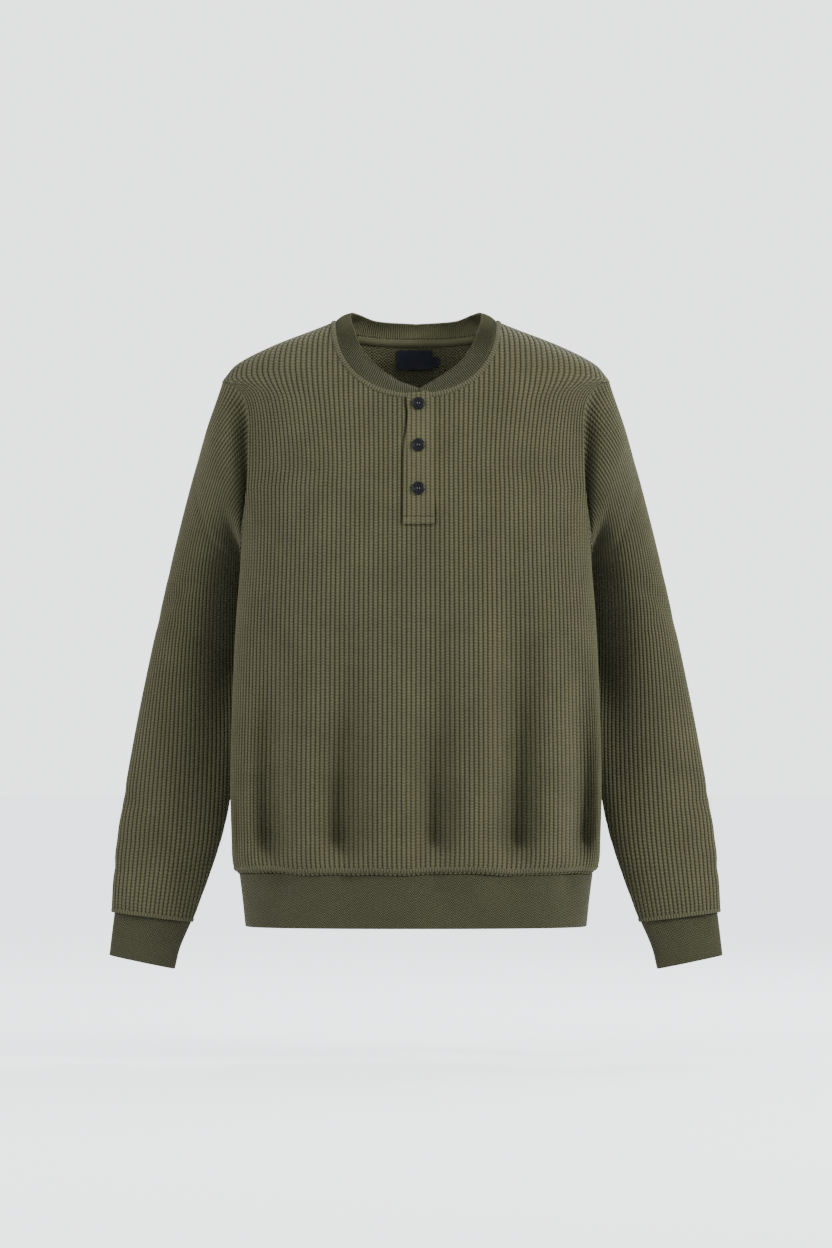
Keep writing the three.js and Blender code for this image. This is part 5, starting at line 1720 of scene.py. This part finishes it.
@dataclass
class Studio:
    """A pale floor and surroundings, two raking lamps, one behind, and a level camera in front."""

    distance: float = 9.0
    middle_z: float = -0.3515
    lens: float = 223.8
    floor_z: float = -0.86
    pale: Colour = (0.80, 0.815, 0.84)
    floor_glow: float = 1.93
    sky: float = 3.25
    floor_half: float = 14.0

    def floor(self) -> None:
        """Lay a floor that fades into the pale surroundings and still takes a soft shadow."""
        mesh = bpy.data.meshes.new("floor")
        corners = [(x * self.floor_half, y * self.floor_half) for x, y in ((-1, -1), (1, -1), (1, 1), (-1, 1))]
        mesh.from_pydata([(x, y, self.floor_z) for x, y in corners], [], [(0, 1, 2, 3)])
        material = bpy.data.materials.new("pale_floor")
        material.use_nodes = True
        shader = material.node_tree.nodes["Principled BSDF"]
        shader.inputs["Base Color"].default_value = (*(0.4 * v for v in self.pale), 1)
        shader.inputs["Roughness"].default_value = 1.0
        shader.inputs["Specular IOR Level"].default_value = 0.0
        shader.inputs["Emission Color"].default_value = (*self.pale, 1)
        shader.inputs["Emission Strength"].default_value = self.floor_glow
        mesh.materials.append(material)
        floor = bpy.data.objects.new("floor", mesh)
        bpy.context.scene.collection.objects.link(floor)

    def light(self, name: str, place: tuple, size: float, watts: float, colour: tuple) -> None:
        """A square area light that looks at the shirt's chest."""
        lamp = bpy.data.lights.new(name, "AREA")
        lamp.size = size
        lamp.energy = watts
        lamp.color = colour
        made = bpy.data.objects.new(name, lamp)
        made.location = place
        aim = np.array([0, 0, self.middle_z]) - np.array(place)
        made.rotation_euler = direction_angles(aim)
        bpy.context.scene.collection.objects.link(made)

    def build(self) -> None:
        """Make the surroundings, the lights and the camera."""
        world = bpy.data.worlds.new("pale_studio")
        world.use_nodes = True
        background = world.node_tree.nodes["Background"]
        background.inputs[0].default_value = (*self.pale, 1)
        background.inputs[1].default_value = self.sky
        bpy.context.scene.world = world
        self.floor()
        self.light("key", (3.1, -2.2, 1.35), 1.0, 350.0, (1.0, 0.985, 0.96))
        self.light("fill", (-3.1, -2.4, 0.95), 1.2, 150.0, (0.98, 0.99, 1.0))
        self.light("rim", (0.9, 1.7, 1.4), 1.2, 120.0, (0.97, 0.985, 1.0))
        data = bpy.data.cameras.new("camera")
        data.lens = self.lens
        data.sensor_width = 36.0
        camera = bpy.data.objects.new("camera", data)
        camera.location = (0, -self.distance, self.middle_z)
        camera.rotation_euler = (np.pi / 2, 0, 0)
        bpy.context.scene.collection.objects.link(camera)
        bpy.context.scene.camera = camera


def direction_angles(aim: np.ndarray) -> tuple[float, float, float]:
    """The turns that point a lamp, which shines down its own -Z, along a direction."""
    x, y, z = aim / np.linalg.norm(aim)
    return (float(np.arccos(-z)), 0.0, float(np.arctan2(-x, y)))


def neck_welt(wardrobe: Wardrobe, neckline: Neckline) -> None:
    """Lay the cover-stitched welt beside the neck seam."""
    at, normal, away, _ = neckline.round(300)
    path = at - away * 3.0 - normal * 0.9
    Welt("neck_welt", wardrobe, width=6.4, rise=2.3).build(path, normal, -away, looped=False, on="front_knit")


def hem_welt(wardrobe: Wardrobe) -> None:
    """Lay the welt above the hem seam, over the front and back again behind."""
    share = np.linspace(-1, 1, 561)
    z = np.full_like(share, HEM_SEAM_Z + 5.2)
    path, normal = [], []
    for face, order in ((Face.FRONT, slice(None)), (Face.BACK, slice(None, None, -1))):
        points = FORM.point(face, share, z)
        points[:, 2] += hem_wave(share * HEM_PANEL_HALF)
        path.append(points[order][:-1])
        normal.append(FORM.normal(face, share * 0.999, z)[order][:-1])
    path, n = np.concatenate(path), np.concatenate(normal)
    up = np.broadcast_to(np.array([0.0, 0.0, 1.0]), path.shape)
    across = unit(up - n * (up * n).sum(-1, keepdims=True))
    Welt("hem_welt", wardrobe, width=5.4, rise=0.9).build(path, n, across, looped=True, on="front_knit")


def cuff_welt(wardrobe: Wardrobe, side: int) -> None:
    """Lay the welt above a cuff seam, on the ring 0.7 short of the sleeve's last."""
    share = np.linspace(-1, 1, 241)[:-1]
    place = SLEEVE_KEYS[-1] - 0.7
    rings = curve_through(SLEEVE_KEYS, SLEEVE_RINGS, np.array([place, place - 0.3]))[:, :6]
    points, out = ring_points(rings, np.broadcast_to(share, (2, len(share))))
    path, n, across = points[0], out[0], unit(points[1] - points[0])
    n = unit(n - across * (n * across).sum(-1, keepdims=True))
    for v in (path, n, across):
        v[:, 0] *= side
    welt = Welt(f"cuff_welt_{SIDES[side]}", wardrobe, width=4.6, rise=0.7)
    welt.build(path, n, across, looped=True, on=f"sleeve_{SIDES[side]}_knit")


def main() -> None:
    """Build every piece in order, from the body to the studio."""
    logging.basicConfig(level=logging.INFO, format="%(name)s: %(message)s")
    wardrobe = Wardrobe()
    neckline = Neckline()
    for face in Face:
        Panel(face, wardrobe).build()
    for side, word in SIDES.items():
        Sleeve(side, wardrobe).build()
        Band(f"cuff_{word}_knit", f"cuff_{word}", wardrobe, (0.2, 0.06)).build(*cuff_rings(side))
    Band("hem_band_knit", "hem_band", wardrobe, (1.02, 0.065)).build(*hem_rings())
    NeckBand(neckline, wardrobe).build()
    neck_welt(wardrobe, neckline)
    hem_welt(wardrobe)
    for side in SIDES:
        cuff_welt(wardrobe, side)
    placket = Placket(wardrobe)
    placket.overlap()
    placket.stand()
    for number, z in enumerate((-99.3, -147.0, -196.5), start=1):
        button = Button(number, *placket.foot_at(2.8, z), wardrobe)
        button.disc()
        button.thread()
    neck_tape(wardrobe)
    Patch("neck_label", "label", -1.6, -43.0, 41.5, 22.0, 1.0, 2.5, wardrobe).build()
    Patch("size_label", "size_tab", 23.0, -45.0, 6.4, 12.0, 0.8, 1.0, wardrobe).build()
    Studio().build()


if __name__ == "__main__":
    main()
